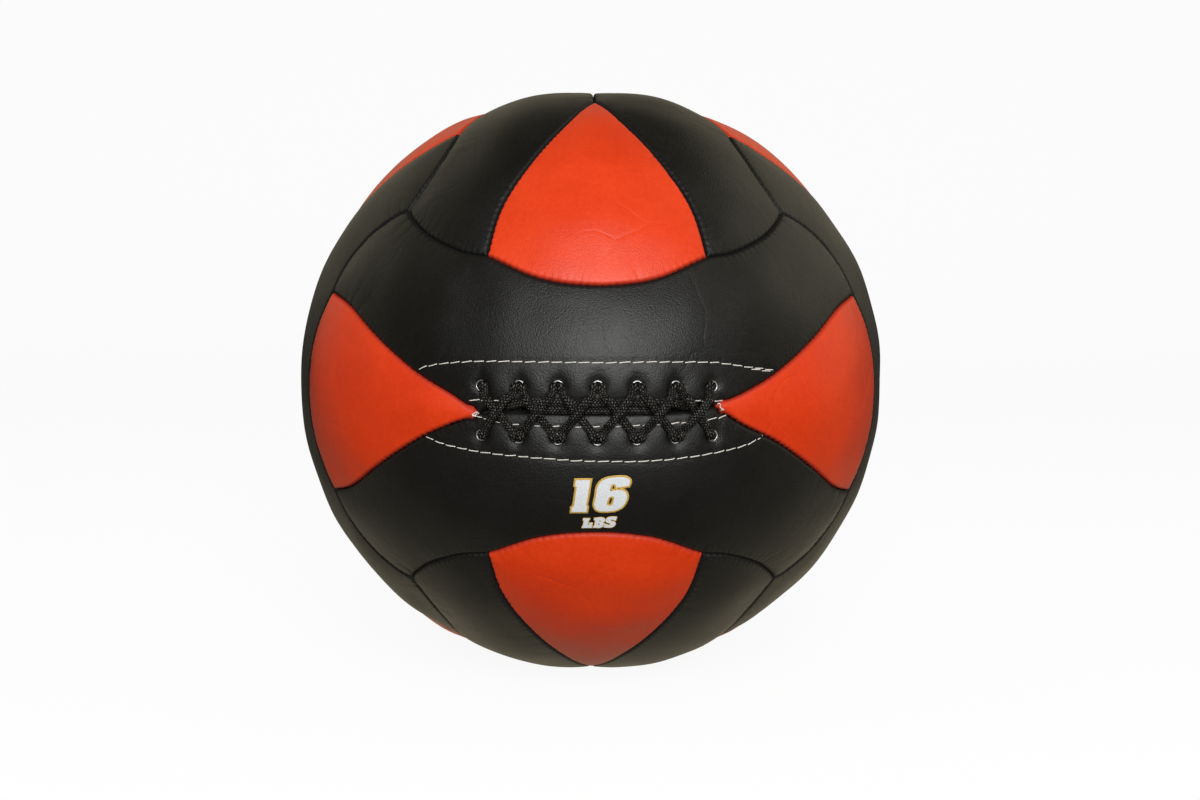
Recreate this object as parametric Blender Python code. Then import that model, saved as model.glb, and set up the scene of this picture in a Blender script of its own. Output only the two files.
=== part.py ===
"""A wall ball: 24 padded panels over foam, a lining bag, stuffing and a weight bag, laced shut in front."""

import math

import bmesh
import bpy
from mathutils import Matrix, Vector
from mathutils.bvhtree import BVHTree
from mathutils.geometry import intersect_point_line

mm = 0.001

# Ball
ball_diameter = 356 * mm  # over the crowns of the panels
rest_depth = 3.4 * mm  # from the crown down to the flat on which the heavy ball settles
fit_gap = 0.3 * mm  # between pieces that lie against each other
smooth_angle = 25  # degrees between two faces, above which the edge between them is drawn sharp
weld_distance = 0.01 * mm

# Panels
crown_rise = 2.8 * mm  # how far a panel swells between its seams
crown_width = 45 * mm  # distance from a seam over which it swells
groove_depth = 1.2 * mm  # where two panels are sewn together
groove_width = 2.5 * mm
hem_thickness = 1.8 * mm  # of a panel at its seam

# Mouth
mouth_width = 4.9 * mm
mouth_rise = 2.3 * mm  # from the level of the red tips up to the middle of the slot
facing_thickness = 1.6 * mm
facing_height = 26 * mm  # from the middle of the ball's face to the facing's outer edge

# Eyelets
eyelet_count = 7
eyelet_pitch = 20 * mm
eyelet_row_height = 12.9 * mm  # of an end eyelet above or below the red tips
eyelet_row_bow = 1.6 * mm  # how much further out the middle eyelet is
eyelet_bore = 5.4 * mm
eyelet_wall = 0.45 * mm
eyelet_flange_width = 1 * mm
eyelet_flange_thickness = 0.6 * mm
collar_gap = 0.5 * mm  # between a facing and the collar that grips it, as the eyelet is tilted
eyelet_sides = 8

# Lace
lace_diameter = 3.8 * mm
lace_bore_diameter = 2.15 * mm  # squeezed where two strands share an eyelet
lace_inner_diameter = 2.6 * mm  # pulled slim between the eyelets inside
lace_gap = 0.47 * mm
lace_sides_level = 1
lace_exit = 0.87 * mm  # from a collar's end to the middle of the lace that turns off behind it
lace_shoulder = 4.2 * mm  # from an eyelet's middle to where the lace lies free of its rim
lace_inner_turn = 3.2 * mm  # the same behind the lips

# The lace's route over the mouth: how far its middle stands above the seams, in three places of a run
lace_rise_shares = [0.25, 0.5, 0.72]
first_rises = [8.3 * mm, 5.4 * mm, 4.8 * mm]
second_rises = [9.2 * mm, 10.5 * mm, 7.4 * mm]

# Its two tails: degrees to the right, then how far up from the red tips and out from the seams
lower_tail_lying = (12.2, 2.3 * mm, 0.9 * mm)
lower_tail_end = [
    (13.8, 2.3 * mm, -0.7 * mm), (14.9, 2.3 * mm, -4 * mm), (15.4, 2.2 * mm, -7.4 * mm),
]
upper_tail_lying = (12.6, 5.95 * mm, 3.1 * mm)
upper_tail_end = [
    (15.1, 4 * mm, 2.4 * mm), (16.4, 2.6 * mm, -0.4 * mm), (17.2, 2.3 * mm, -4 * mm),
    (17.5, 2.4 * mm, -7.4 * mm),
]
tail_spans = 7

# Reading of the lace's least gap
gap_steps = 4  # between two points of its route
gap_reach = 9.5 * mm  # along the lace, over which it isn't measured against itself

# Inside
foam_thickness = 10.5 * mm
foam_mouth_length = 196 * mm
foam_mouth_height = 58 * mm
tongue_length = 150 * mm
tongue_height = 40 * mm
tongue_thickness = 1.8 * mm
tongue_columns = 8
tongue_rows = 2
lining_thickness = 1.2 * mm
filling_slot_length = 104 * mm
filling_slot_height = 16 * mm
ballast_diameter = 140 * mm
ballast_bag_thickness = 1.2 * mm
ballast_neck_diameter = 30 * mm
ballast_neck_length = 26 * mm
neck_tie_diameter = 4 * mm
tie_sides = 6
cut_overrun = 5 * mm

# Round pieces inside
layer_columns = 16
layer_rows = 8

# Directions on the ball, as degrees right and up from the middle of the front face
curve_steps = 12  # between two of them, where a smooth curve runs through them
mouth_corner_angle = 19.8
side_bend_angles = [(24.5, 2.3), (32.3, 5.8), (42.4, 11.3), (52.5, 16.4)]
base_middle_angle = 21.0
base_bend_angles = (10.5, 22.2)
base_corner_angles = (21.0, 26.1)
edge_bend_angles = [(27.3, 27.1), (35.4, 29.9), (42.0, 33.3)]

# Where the points of each seam lie, as shares of its length
side_shares = [0, 0.2, 0.4, 0.6, 0.8, 0.96, 1]
mouth_shares = [0, 0.05, 0.25, 0.5, 0.75, 0.95, 1]
base_shares = [0, 1 / 6, 1 / 3, 1 / 2, 2 / 3, 5 / 6, 1]
edge_shares = [0, 0.05, 0.2, 0.5, 0.8, 0.95, 1]
triangle_ring_shares = [0.03, 0.12, 0.33, 0.62]
triangle_lining_share = 0.5
triangle_middle_share = 0.6  # from the red tip to the middle of the triangle's base
facing_row_share = 0.5

ball_radius = ball_diameter / 2
seam_radius = ball_radius - crown_rise - groove_depth
hem_radius = seam_radius - hem_thickness
lace_bump = second_rises[1] + lace_diameter / 2 - crown_rise  # of the lace, over the crowns
centre = Vector((0, lace_bump / 2, ball_radius - rest_depth))


def direction(right, up):
    """The direction of a point of the front face, given in degrees."""
    right = math.radians(right)
    up = math.radians(up)
    return Vector((math.cos(up) * math.sin(right), -math.cos(up) * math.cos(right), math.sin(up)))


def mirrored_left(point):
    return Vector((-point.x, point.y, point.z))


def mirrored_down(point):
    return Vector((point.x, point.y, -point.z))


def turned(point):
    """The third turn that takes the front face to the right one, and a top triangle to a right one."""
    return Vector((-point.y, -point.z, point.x))


def turned_about(point):
    """The half turn that takes the front face to the back."""
    return Vector((-point.x, -point.y, point.z))


def points_at(points, shares):
    """Points at these shares of a smooth curve through the given directions."""
    ends = [2 * points[0] - points[1]] + points + [2 * points[-1] - points[-2]]
    dense = []
    for a, b, c, d in zip(ends, ends[1:], ends[2:], ends[3:]):
        for step in range(curve_steps):
            t = step / curve_steps
            bend = (2 * a - 5 * b + 4 * c - d) * t**2 + (3 * b - a - 3 * c + d) * t**3
            dense.append((b + ((c - a) * t + bend) / 2).normalized())
    dense.append(points[-1].copy())
    lengths = [0.0]
    for a, b in zip(dense, dense[1:]):
        lengths.append(lengths[-1] + (b - a).length)
    found = []
    for share in shares:
        goal = share * lengths[-1]
        i = next(i for i in range(1, len(dense)) if lengths[i] >= goal or i == len(dense) - 1)
        t = (goal - lengths[i - 1]) / (lengths[i] - lengths[i - 1])
        found.append(dense[i - 1].lerp(dense[i], t).normalized())
    return found


def seams():
    """The four kinds of seam, each once: every seam on the ball is a turned or mirrored copy."""
    tip = direction(mouth_corner_angle, 0)
    corner = direction(*base_corner_angles)
    cube_corner = Vector((1, -1, 1)).normalized()
    side = [tip] + [direction(*angles) for angles in side_bend_angles] + [turned(corner)]
    bend = direction(*base_bend_angles)
    base = [mirrored_left(corner), mirrored_left(bend), direction(0, base_middle_angle), bend, corner]
    edge = [corner] + [direction(*angles) for angles in edge_bend_angles] + [cube_corner]
    mouth = [mirrored_left(tip), direction(0, 0), tip]
    return (
        points_at(side, side_shares),
        points_at(mouth, mouth_shares),
        points_at(base, base_shares),
        points_at(edge, edge_shares),
    )


side_seam, mouth_seam, base_seam, edge_seam = seams()


def lip(rise):
    """The mouth's seam line, moved up by this much but for its two ends."""
    inner = [(point + Vector((0, 0, rise / seam_radius))).normalized() for point in mouth_seam[1:-1]]
    return [mouth_seam[0]] + inner + [mouth_seam[-1]]


def band_sides(mouth_edge):
    """The four sides of the black band above the mouth: lower, upper, left and right."""
    lower = [mirrored_left(p) for p in reversed(side_seam)] + mouth_edge[1:-1] + side_seam
    upper = [mirrored_left(p) for p in reversed(edge_seam)] + base_seam[1:-1] + edge_seam
    right = [turned(p) for p in edge_seam]
    left = [mirrored_left(p) for p in right]
    return lower, upper, left, right


def swell(distance):
    """How far a panel stands above its seam at this distance from it."""
    groove = 1 - (1 - min(distance / groove_width, 1)) ** 2
    crown = 1 - (1 - min(distance / crown_width, 1)) ** 2
    return groove_depth * groove + crown_rise * crown


def distance_to(point, outline):
    """How far a direction lies from an outline, along the ball."""
    found = []
    for a, b in zip(outline, outline[1:] + outline[:1]):
        foot, share = intersect_point_line(point, a, b)
        foot = a if share < 0 else b if share > 1 else foot
        found.append((point - foot).length)
    return min(found) * seam_radius


def drawn_in(outline, distance):
    """An outline moved inwards by this much. It runs anticlockwise, seen from outside the ball."""
    moved = []
    for before, point, after in zip(outline[-1:] + outline[:-1], outline, outline[1:] + outline[:1]):
        first = point.cross(point - before).normalized()
        second = point.cross(after - point).normalized()
        inwards = (first + second) / (1 + first.dot(second))
        moved.append((point + inwards * distance / seam_radius).normalized())
    return moved


def outer_point(point, outline):
    return point * (seam_radius + swell(distance_to(point, outline)))


def band_mesh(sides):
    """A black band: a grid of faces outside, another inside, and a hem all round."""
    lower, upper, left, right = sides
    outline = lower + right[1:-1] + upper[::-1] + left[-2:0:-1]
    inset = drawn_in(outline, fit_gap / 2)
    columns = len(lower) - 1
    rows = len(right) - 1
    lower = inset[: columns + 1]
    right = inset[columns : columns + rows + 1]
    upper = inset[columns + rows : 2 * columns + rows + 1][::-1]
    left = ([*inset, inset[0]][2 * columns + rows :])[::-1]
    mesh = bmesh.new()
    outside, inside = [], []
    for i in range(columns + 1):
        along = i / columns
        outside.append([])
        inside.append([])
        for j in range(rows + 1):
            across = edge_shares[j]
            point = lower[i].lerp(upper[i], across)
            point += (1 - along) * (left[j] - lower[0].lerp(upper[0], across))
            point += along * (right[j] - lower[-1].lerp(upper[-1], across))
            point.normalize()
            outside[-1].append(mesh.verts.new(outer_point(point, outline)))
            inside[-1].append(mesh.verts.new(point * hem_radius))
    for i in range(columns):
        for j in range(rows):
            corners = (i, j), (i + 1, j), (i + 1, j + 1), (i, j + 1)
            mesh.faces.new([outside[a][b] for a, b in corners])
            mesh.faces.new([inside[a][b] for a, b in reversed(corners)])
    loops = [[column[0] for column in side] for side in (outside, inside)]
    for side, loop in zip((outside, inside), loops):
        loop += side[-1][1:-1] + [column[-1] for column in reversed(side)] + side[0][-2:0:-1]
    hem(mesh, *loops)
    return mesh


def hem(mesh, outside, inside):
    for i in range(len(outside)):
        mesh.faces.new([outside[i - 1], inside[i - 1], inside[i], outside[i]])


def triangle_mesh():
    """The red triangle to the right of the mouth: rings of faces round its middle."""
    lower = [mirrored_down(p) for p in side_seam]
    outline = lower + [turned(p) for p in base_seam[1:-1]] + side_seam[:0:-1]
    inset = drawn_in(outline, fit_gap / 2)
    middle = outline[0].lerp(turned(direction(0, base_middle_angle)), triangle_middle_share).normalized()
    mesh = bmesh.new()
    outside = [mesh.verts.new(outer_point(point, outline)) for point in inset]
    inside = [mesh.verts.new(point * hem_radius) for point in inset]
    hem(mesh, outside, inside)
    for share in triangle_ring_shares:
        points = [point.lerp(middle, share).normalized() for point in inset]
        ring = [mesh.verts.new(outer_point(point, outline)) for point in points]
        hem(mesh, ring, outside)
        outside = ring
    points = [point.lerp(middle, triangle_lining_share).normalized() for point in inset]
    ring = [mesh.verts.new(point * hem_radius) for point in points]
    hem(mesh, inside, ring)
    top = mesh.verts.new(outer_point(middle, outline))
    bottom = mesh.verts.new(middle * hem_radius)
    for i in range(len(inset)):
        mesh.faces.new([outside[i - 1], outside[i], top])
        mesh.faces.new([ring[i], ring[i - 1], bottom])
    return mesh


def cut_flat(mesh, point, outwards):
    """Takes off what lies beyond a plane, and closes the mesh with a flat face."""
    cut = bmesh.ops.bisect_plane(
        mesh, geom=mesh.verts[:] + mesh.edges[:] + mesh.faces[:],
        plane_co=point, plane_no=outwards, clear_outer=True,
    )
    rim = [part for part in cut["geom_cut"] if isinstance(part, bmesh.types.BMEdge)]
    bmesh.ops.holes_fill(mesh, edges=rim, sides=0)


def finished(name, mesh, material):
    """An object at the ball's middle, made from a mesh about that middle."""
    bmesh.ops.recalc_face_normals(mesh, faces=mesh.faces[:])
    data = bpy.data.meshes.new(name)
    mesh.to_mesh(data)
    mesh.free()
    data.shade_smooth()
    data.set_sharp_from_angle(angle=math.radians(smooth_angle))
    data.materials.append(material)
    piece = bpy.data.objects.new(name, data)
    piece.location = centre
    bpy.context.collection.objects.link(piece)
    return piece


def material(name, colour, roughness, metallic=0.0):
    made = bpy.data.materials.new(name)
    made.use_nodes = True
    shader = made.node_tree.nodes["Principled BSDF"]
    shader.inputs["Base Color"].default_value = (*colour, 1)
    shader.inputs["Roughness"].default_value = roughness
    shader.inputs["Metallic"].default_value = metallic
    made.diffuse_color = (*colour, 1)
    return made


def side_name(point):
    """The side of the ball that a direction points to most."""
    names = (("left", "right"), ("front", "back"), ("bottom", "top"))
    axis = max(range(3), key=lambda i: abs(point[i]))
    return names[axis][point[axis] > 0]


def make_panels():
    """All 24 panels, four to a face. Returns the two black ones at the mouth."""
    red = material("red_leather", (0.72, 0.055, 0.02), 0.45)
    black = material("black_leather", (0.022, 0.021, 0.019), 0.5)
    lips = []
    for name, quarter_turns, half_turn in face_turns():
        for upper in (True, False):
            at_mouth = name == "front"
            rise = mouth_rise + mouth_width / 2 if upper else mouth_width / 2 - mouth_rise
            mesh = band_mesh(band_sides(lip(rise if at_mouth else 0)))
            towards = Vector((0, 0, 1))
            if not upper:
                flip(mesh, mirrored_down)
                towards = -towards
            panel = placed_panel(mesh, name, towards, "black", black, quarter_turns, half_turn)
            if at_mouth:
                lips.append(panel)
        for right in (True, False):
            mesh = triangle_mesh()
            towards = Vector((1, 0, 0))
            if not right:
                flip(mesh, mirrored_left)
                towards = -towards
            placed_panel(mesh, name, towards, "red", red, quarter_turns, half_turn)
    return lips


def face_turns():
    """Each face of the ball with the turns that bring the front face there."""
    found = []
    for half_turn in (False, True):
        for third_turns in range(3):
            middle = turned_to(Vector((0, -1, 0)), third_turns, half_turn)
            found.append((side_name(middle), third_turns, half_turn))
    return found


def turned_to(point, third_turns, half_turn):
    if half_turn:
        point = turned_about(point)
    for _ in range(third_turns):
        point = turned(point)
    return point


def flip(mesh, mirror):
    for vert in mesh.verts:
        vert.co = mirror(vert.co)


def placed_panel(mesh, face, towards, colour, leather, third_turns, half_turn):
    for vert in mesh.verts:
        vert.co = turned_to(vert.co, third_turns, half_turn)
    if face == "bottom":
        bmesh.ops.recalc_face_normals(mesh, faces=mesh.faces[:])
        cut_flat(mesh, -centre, (0, 0, -1))
    side = side_name(turned_to(towards, third_turns, half_turn))
    return finished(f"panel_{face}_{side}_{colour}", mesh, leather)


def cut_away(piece, mesh, name):
    """Cuts a hidden cutter out of a piece."""
    cutter = finished(name, mesh, piece.data.materials[0])
    cutter.hide_render = True
    cutter.display_type = "WIRE"
    modifier = piece.modifiers.new(name, "BOOLEAN")
    modifier.object = cutter
    modifier.operation = "DIFFERENCE"


def strip_mesh(rows, outer_radius, thickness):
    """A curved strip between rows of directions, lowest row first."""
    mesh = bmesh.new()
    grids = []
    for radius in (outer_radius, outer_radius - thickness):
        grids.append([[mesh.verts.new(point * radius) for point in row] for row in rows])
    outside, inside = grids
    for j in range(len(rows) - 1):
        for i in range(len(rows[0]) - 1):
            corners = (j, i), (j, i + 1), (j + 1, i + 1), (j + 1, i)
            mesh.faces.new([outside[a][b] for a, b in corners])
            mesh.faces.new([inside[a][b] for a, b in reversed(corners)])
    loops = []
    for grid in grids:
        ends = [row[-1] for row in grid[1:-1]], [row[0] for row in grid[-2:0:-1]]
        loops.append(grid[0] + ends[0] + grid[-1][::-1] + ends[1])
    hem(mesh, *loops)
    return mesh


# The radii of what lies under the panels, from outside in
panel_sag = seam_radius * (1 - math.cos(math.radians(mouth_corner_angle) / 4))
facing_radius = hem_radius - fit_gap - panel_sag
collar_radius = facing_radius - facing_thickness - panel_sag - collar_gap - eyelet_flange_thickness
first_bar_radius = collar_radius - fit_gap - lace_inner_diameter / 2
second_bar_radius = first_bar_radius - lace_inner_diameter - lace_gap
tongue_radius = second_bar_radius - lace_inner_diameter / 2 - fit_gap
foam_radius = hem_radius - fit_gap - 2 * panel_sag
tongue_sag = tongue_radius * (1 - math.cos(tongue_length / tongue_columns / 2 / tongue_radius))
tongue_seat = tongue_radius - tongue_thickness - tongue_sag
lining_radius = min(foam_radius - foam_thickness, tongue_seat) - fit_gap
stuffing_radius = lining_radius - lining_thickness - fit_gap
ballast_radius = ballast_diameter / 2
bag_radius = ballast_radius + fit_gap + ballast_bag_thickness
neck_radius = ballast_neck_diameter / 2
tie_radius = neck_tie_diameter / 2


def mouth_level(right):
    """Where a point of the front face stands along the mouth, from -1 at its left end to 1."""
    return right / mouth_corner_angle


def eyelet_places(upper):
    """The directions of one row of eyelets, from left to right."""
    pitch = math.degrees(eyelet_pitch / ball_radius)
    found = []
    for i in range(eyelet_count):
        right = (i - (eyelet_count - 1) / 2) * pitch
        bow = eyelet_row_bow * (1 - mouth_level(right) ** 2)
        up = math.degrees((eyelet_row_height + bow) / ball_radius)
        found.append(direction(right, up if upper else -up))
    return found


def seats_of(panel, upper):
    """Where each eyelet sits on its lip: a point, and the way out along the eyelet's axis."""
    mesh = bmesh.new()
    mesh.from_mesh(panel.data)
    tree = BVHTree.FromBMesh(mesh)
    found = []
    for place in eyelet_places(upper):
        point, normal, *_ = tree.ray_cast(place * ball_diameter, -place)
        found.append((point, (normal + place).normalized()))
    mesh.free()
    return found


def make_facing(name, upper, leather):
    """The strip under a lip that the eyelets grip."""
    sign = 1 if upper else -1
    rise = mouth_width / 2 + sign * mouth_rise
    side = [p for p in side_seam if p.z * ball_radius < facing_height / 2]
    row = [mirrored_left(p) for p in side[:0:-1]] + lip(rise) + side[1:]
    outer = []
    for point in row:
        share = (facing_height / ball_radius - point.z) / (1 - point.z)
        outer.append((point + Vector((0, 0, 1)) * share).normalized())
    middle = [a.lerp(b, facing_row_share).normalized() for a, b in zip(row, outer)]
    mesh = strip_mesh([row, middle, outer], facing_radius, facing_thickness)
    if not upper:
        flip(mesh, mirrored_down)
    return finished(name, mesh, leather)


def along(axis, point):
    """The matrix that takes the middle to this point, and up to this axis."""
    return Matrix.Translation(point) @ axis.to_track_quat("Z", "Y").to_matrix().to_4x4()


def hole_cutters(seats):
    mesh = bmesh.new()
    radius = eyelet_bore / 2 + eyelet_wall + fit_gap
    depth = ball_radius - facing_radius + facing_thickness + cut_overrun
    for point, axis in seats:
        bmesh.ops.create_cone(
            mesh, cap_ends=True, segments=eyelet_sides, radius1=radius, radius2=radius,
            depth=depth, matrix=along(axis, point - axis * (depth / 2 - cut_overrun)),
        )
    return mesh


def make_eyelet(name, seat, metal):
    """A barrel with a flange outside the lip and another inside the facing."""
    point, axis = seat
    bore = eyelet_bore / 2
    barrel = bore + eyelet_wall
    rim = barrel + eyelet_flange_width
    length = point.length - collar_radius
    top = fit_gap + eyelet_flange_thickness
    profile = [
        (bore, top), (rim, top), (rim, fit_gap), (barrel, fit_gap),
        (barrel, eyelet_flange_thickness - length), (rim, eyelet_flange_thickness - length),
        (rim, -length), (bore, -length),
    ]
    mesh = bmesh.new()
    verts = [mesh.verts.new((radius, 0, height)) for radius, height in profile]
    edges = [mesh.edges.new((verts[i - 1], verts[i])) for i in range(len(verts))]
    bmesh.ops.spin(
        mesh, geom=verts + edges, axis=(0, 0, 1), cent=(0, 0, 0), steps=eyelet_sides,
        angle=2 * math.pi, use_merge=True, use_duplicate=False,
    )
    bmesh.ops.transform(mesh, matrix=along(axis, point), verts=mesh.verts[:])
    return finished(name, mesh, metal)


def make_mouth(lips, leather):
    """Facings, eyelets and holes. Returns the seats of the upper and the lower row."""
    metal = material("eyelet_metal", (0.62, 0.62, 0.6), 0.25, 1.0)
    rows = []
    for panel, upper, row in zip(lips, (True, False), ("upper", "lower")):
        seats = seats_of(panel, upper)
        facing = make_facing(f"facing_{row}", upper, leather)
        cut_away(panel, hole_cutters(seats), f"lip_holes_{row}")
        cut_away(facing, hole_cutters(seats), f"facing_holes_{row}")
        for i, seat in enumerate(seats):
            make_eyelet(f"eyelet_{row}_{i + 1}", seat, metal)
        rows.append(seats)
    return rows


def in_bore(seat, lane, height):
    """A point of the lace in an eyelet, in its left, middle or right lane, at a height over the lip."""
    point, axis = seat
    across = Vector((0, 0, 1)).cross(axis).normalized()
    offset = (lace_bore_diameter + lace_gap) / 2
    return point + axis * height + across * lane * offset


def pass_outside(start, start_lane, end, end_lane, rises):
    """The lace from an upper eyelet to a lower one over the lips, at these heights above the seams."""
    rim = fit_gap + eyelet_flange_thickness
    lying = rim + 2 * lace_gap + lace_diameter / 2
    way = (end[0] - start[0]).normalized()
    route = [(in_bore(start, start_lane, rim + lace_bore_diameter / 2), lace_bore_diameter)]
    route.append((start[0] + start[1] * lying + way * lace_shoulder, lace_diameter))
    for share, rise in zip(lace_rise_shares, rises):
        spot = start[0].lerp(end[0], share).normalized()
        route.append((spot * (seam_radius + rise), lace_diameter))
    route.append((end[0] + end[1] * lying - way * lace_shoulder, lace_diameter))
    route.append((in_bore(end, end_lane, rim + lace_bore_diameter / 2), lace_bore_diameter))
    return route


def behind(seat, lane):
    """Where the lace comes out of an eyelet's collar, behind the facing."""
    return in_bore(seat, lane, collar_radius - seat[0].length - lace_exit)


def pass_inside(start, start_lane, end, end_lane, radius):
    """The lace behind the lips, from a lower eyelet to the one above it."""
    turn = (end[0] - start[0]).normalized() * lace_inner_turn
    route = [(behind(start, start_lane), lace_bore_diameter)]
    for seat, lane, step in ((start, start_lane, turn), (end, end_lane, -turn)):
        spot = behind(seat, lane) + step
        route.append((spot.normalized() * radius, lace_inner_diameter))
    route.append((behind(end, end_lane), lace_bore_diameter))
    return route


def tail(middle, end, seat):
    """One tail: from inside the right end of the mouth, along it, and in again to an end eyelet."""
    outer = end[::-1]
    lying_right, lying_up, lying_out = middle
    for i in range(tail_spans + 1):
        outer.append((lying_right * (1 - 2 * i / tail_spans), lying_up, lying_out))
    outer += [(-right, up, out) for right, up, out in end]
    route = []
    for right, up, out in outer:
        radius = seam_radius + out
        width = lace_inner_diameter if radius + lace_diameter / 2 < collar_radius else lace_diameter
        route.append((direction(right, math.degrees(up / ball_radius)) * radius, width))
    turn = (route[-1][0] - behind(seat, 0)).normalized() * lace_inner_turn
    route.append(((behind(seat, 0) + turn).normalized() * first_bar_radius, lace_inner_diameter))
    route.append((behind(seat, 0), lace_bore_diameter))
    return route


def least_gap(route):
    """The narrowest space between two stretches of the lace that don't follow each other."""
    fine = []
    for (a, a_width), (b, b_width) in zip(route, route[1:]):
        for step in range(gap_steps):
            share = step / gap_steps
            fine.append((a.lerp(b, share), (a_width + (b_width - a_width) * share) / 2))
    reached = [0]
    for (a, _), (b, _) in zip(fine, fine[1:]):
        reached.append(reached[-1] + (b - a).length)
    least = ball_diameter
    for i, (a, a_radius) in enumerate(fine):
        for j in range(i + 1, len(fine)):
            if reached[j] - reached[i] > gap_reach:
                least = min(least, (fine[j][0] - a).length - a_radius - fine[j][1])
    return least


def make_lace(uppers, lowers):
    """One lace: down to the right all along, back down to the left over the first runs, and two tails."""
    last = len(uppers) - 1
    route = tail(upper_tail_lying, upper_tail_end, uppers[0])
    for i in range(last):
        lane = 1 if i + 1 < last else 0
        route += pass_outside(uppers[i], min(i, 1), lowers[i + 1], -lane, first_rises)
        route += pass_inside(lowers[i + 1], -lane, uppers[i + 1], lane, first_bar_radius)
    for i in range(last, 0, -1):
        route += pass_outside(uppers[i], 0 if i == last else -1, lowers[i - 1], min(i - 1, 1), second_rises)
        if i > 1:
            route += pass_inside(lowers[i - 1], 1, uppers[i - 1], -1, second_bar_radius)
    route += tail(lower_tail_lying, lower_tail_end, lowers[0])[::-1]
    length = sum((b[0] - a[0]).length for a, b in zip(route, route[1:]))
    print(f"lace: {length:.3f} m, {len(route)} points, least gap {least_gap(route) / mm:.2f} mm")
    curve = bpy.data.curves.new("lace", "CURVE")
    curve.dimensions = "3D"
    curve.bevel_depth = lace_diameter / 2
    curve.bevel_resolution = lace_sides_level
    curve.use_fill_caps = True
    spline = curve.splines.new("POLY")
    spline.points.add(len(route) - 1)
    for point, (place, width) in zip(spline.points, route):
        point.co = (*place, 1)
        point.radius = width / lace_diameter
    curve.materials.append(material("black_lace", (0.025, 0.025, 0.027), 0.8))
    lace = bpy.data.objects.new("lace", curve)
    lace.location = centre
    bpy.context.collection.objects.link(lace)


def make_layer(name, outer_radius, thickness, length, height, finish):
    """A round layer with an opening behind the mouth."""
    layer = finished(name, rounded(outer_radius), finish)
    cut_away(layer, rounded(outer_radius - thickness), f"{name}_hollow")
    cut_away(layer, mouth_box(length, height, outer_radius - thickness), f"{name}_opening")


def rounded(radius):
    mesh = bmesh.new()
    bmesh.ops.create_uvsphere(mesh, u_segments=layer_columns, v_segments=layer_rows, radius=radius)
    return mesh


def mouth_box(length, height, inner_radius):
    """A box through the front of a layer, as long and high as its opening."""
    reach = math.asin(length / 2 / inner_radius)
    inner = inner_radius * math.cos(reach) - cut_overrun
    mesh = bmesh.new()
    bmesh.ops.create_cube(mesh, size=1)
    for vert in mesh.verts:
        depth = ball_radius if vert.co.y < 0 else inner
        vert.co = (vert.co.x * length, -depth, vert.co.z * height)
    return mesh


def make_tongue(leather):
    """The flap that closes the filling slot, under the lace."""
    across, up = (math.degrees(size / 2 / tongue_radius) for size in (tongue_length, tongue_height))
    rows = []
    for j in range(tongue_rows + 1):
        height = up * (2 * j / tongue_rows - 1)
        steps = [2 * i / tongue_columns - 1 for i in range(tongue_columns + 1)]
        rows.append([direction(across * step, height) for step in steps])
    return finished("tongue", strip_mesh(rows, tongue_radius, tongue_thickness), leather)


def round_to_neck(radius):
    """An arc about the middle of the weight, from behind it to its neck: (from the axis, forwards)."""
    last = math.pi - math.asin(neck_radius / bag_radius)
    angles = [last * i / layer_rows for i in range(layer_rows + 1)]
    return [(radius * math.sin(angle), -radius * math.cos(angle)) for angle in angles]


def turned_solid(profile):
    """A profile of distances from the middle line and forwards, turned all round that line."""
    mesh = bmesh.new()
    verts = [mesh.verts.new((radius, -forwards, 0)) for radius, forwards in profile]
    edges = [mesh.edges.new(pair) for pair in zip(verts, verts[1:])]
    if profile[0][0] > 0:
        edges.append(mesh.edges.new((verts[-1], verts[0])))
    bmesh.ops.spin(
        mesh, geom=verts + edges, axis=(0, 1, 0), cent=(0, 0, 0), steps=layer_columns,
        angle=2 * math.pi, use_merge=True, use_duplicate=False,
    )
    bmesh.ops.remove_doubles(mesh, verts=mesh.verts[:], dist=weld_distance)
    return mesh


def make_ballast(canvas):
    """The weight bag with its tied neck, and the ballast in it."""
    root = math.sqrt(bag_radius**2 - neck_radius**2)
    waist = root + ballast_neck_length / 2
    end = root + ballast_neck_length
    waist_radius = neck_radius - tie_radius
    profile = round_to_neck(bag_radius)
    profile += [
        (waist_radius, waist - tie_radius), (waist_radius, waist + tie_radius), (neck_radius, end),
        (neck_radius - ballast_bag_thickness, end),
        (waist_radius - ballast_bag_thickness, waist + tie_radius),
        (waist_radius - ballast_bag_thickness, waist - tie_radius),
    ]
    profile += round_to_neck(ballast_radius + fit_gap)[::-1]
    finished("ballast_bag", turned_solid(profile), canvas)
    iron = material("ballast_iron", (0.12, 0.11, 0.1), 0.6, 0.8)
    profile = round_to_neck(ballast_radius)
    finished("ballast", turned_solid(profile + [(0, profile[-1][1])]), iron)
    ring = []
    for i in range(tie_sides):
        angle = 2 * math.pi * i / tie_sides
        out = waist_radius + fit_gap + tie_radius + tie_radius * math.cos(angle)
        ring.append((out, waist + tie_radius * math.sin(angle)))
    finished("neck_tie", turned_solid(ring), canvas)


def make_stuffing(textile):
    """Two shells of packed textile, behind and in front of the weight bag."""
    for name, side in (("stuffing_back", 1), ("stuffing_front", -1)):
        mesh = rounded(stuffing_radius)
        cut_flat(mesh, (0, side * fit_gap / 2, 0), (0, -side, 0))
        half = finished(name, mesh, textile)
        profile = round_to_neck(bag_radius + fit_gap)
        cut_away(half, turned_solid(profile + [(0, profile[-1][1])]), f"{name}_hollow")
        if side < 0:
            pocket = neck_radius + tie_radius + fit_gap
            end = bag_radius + ballast_neck_length + fit_gap
            profile = [(0, ballast_radius), (pocket, ballast_radius), (pocket, end), (0, end)]
            cut_away(half, turned_solid(profile), f"{name}_pocket")


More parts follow.
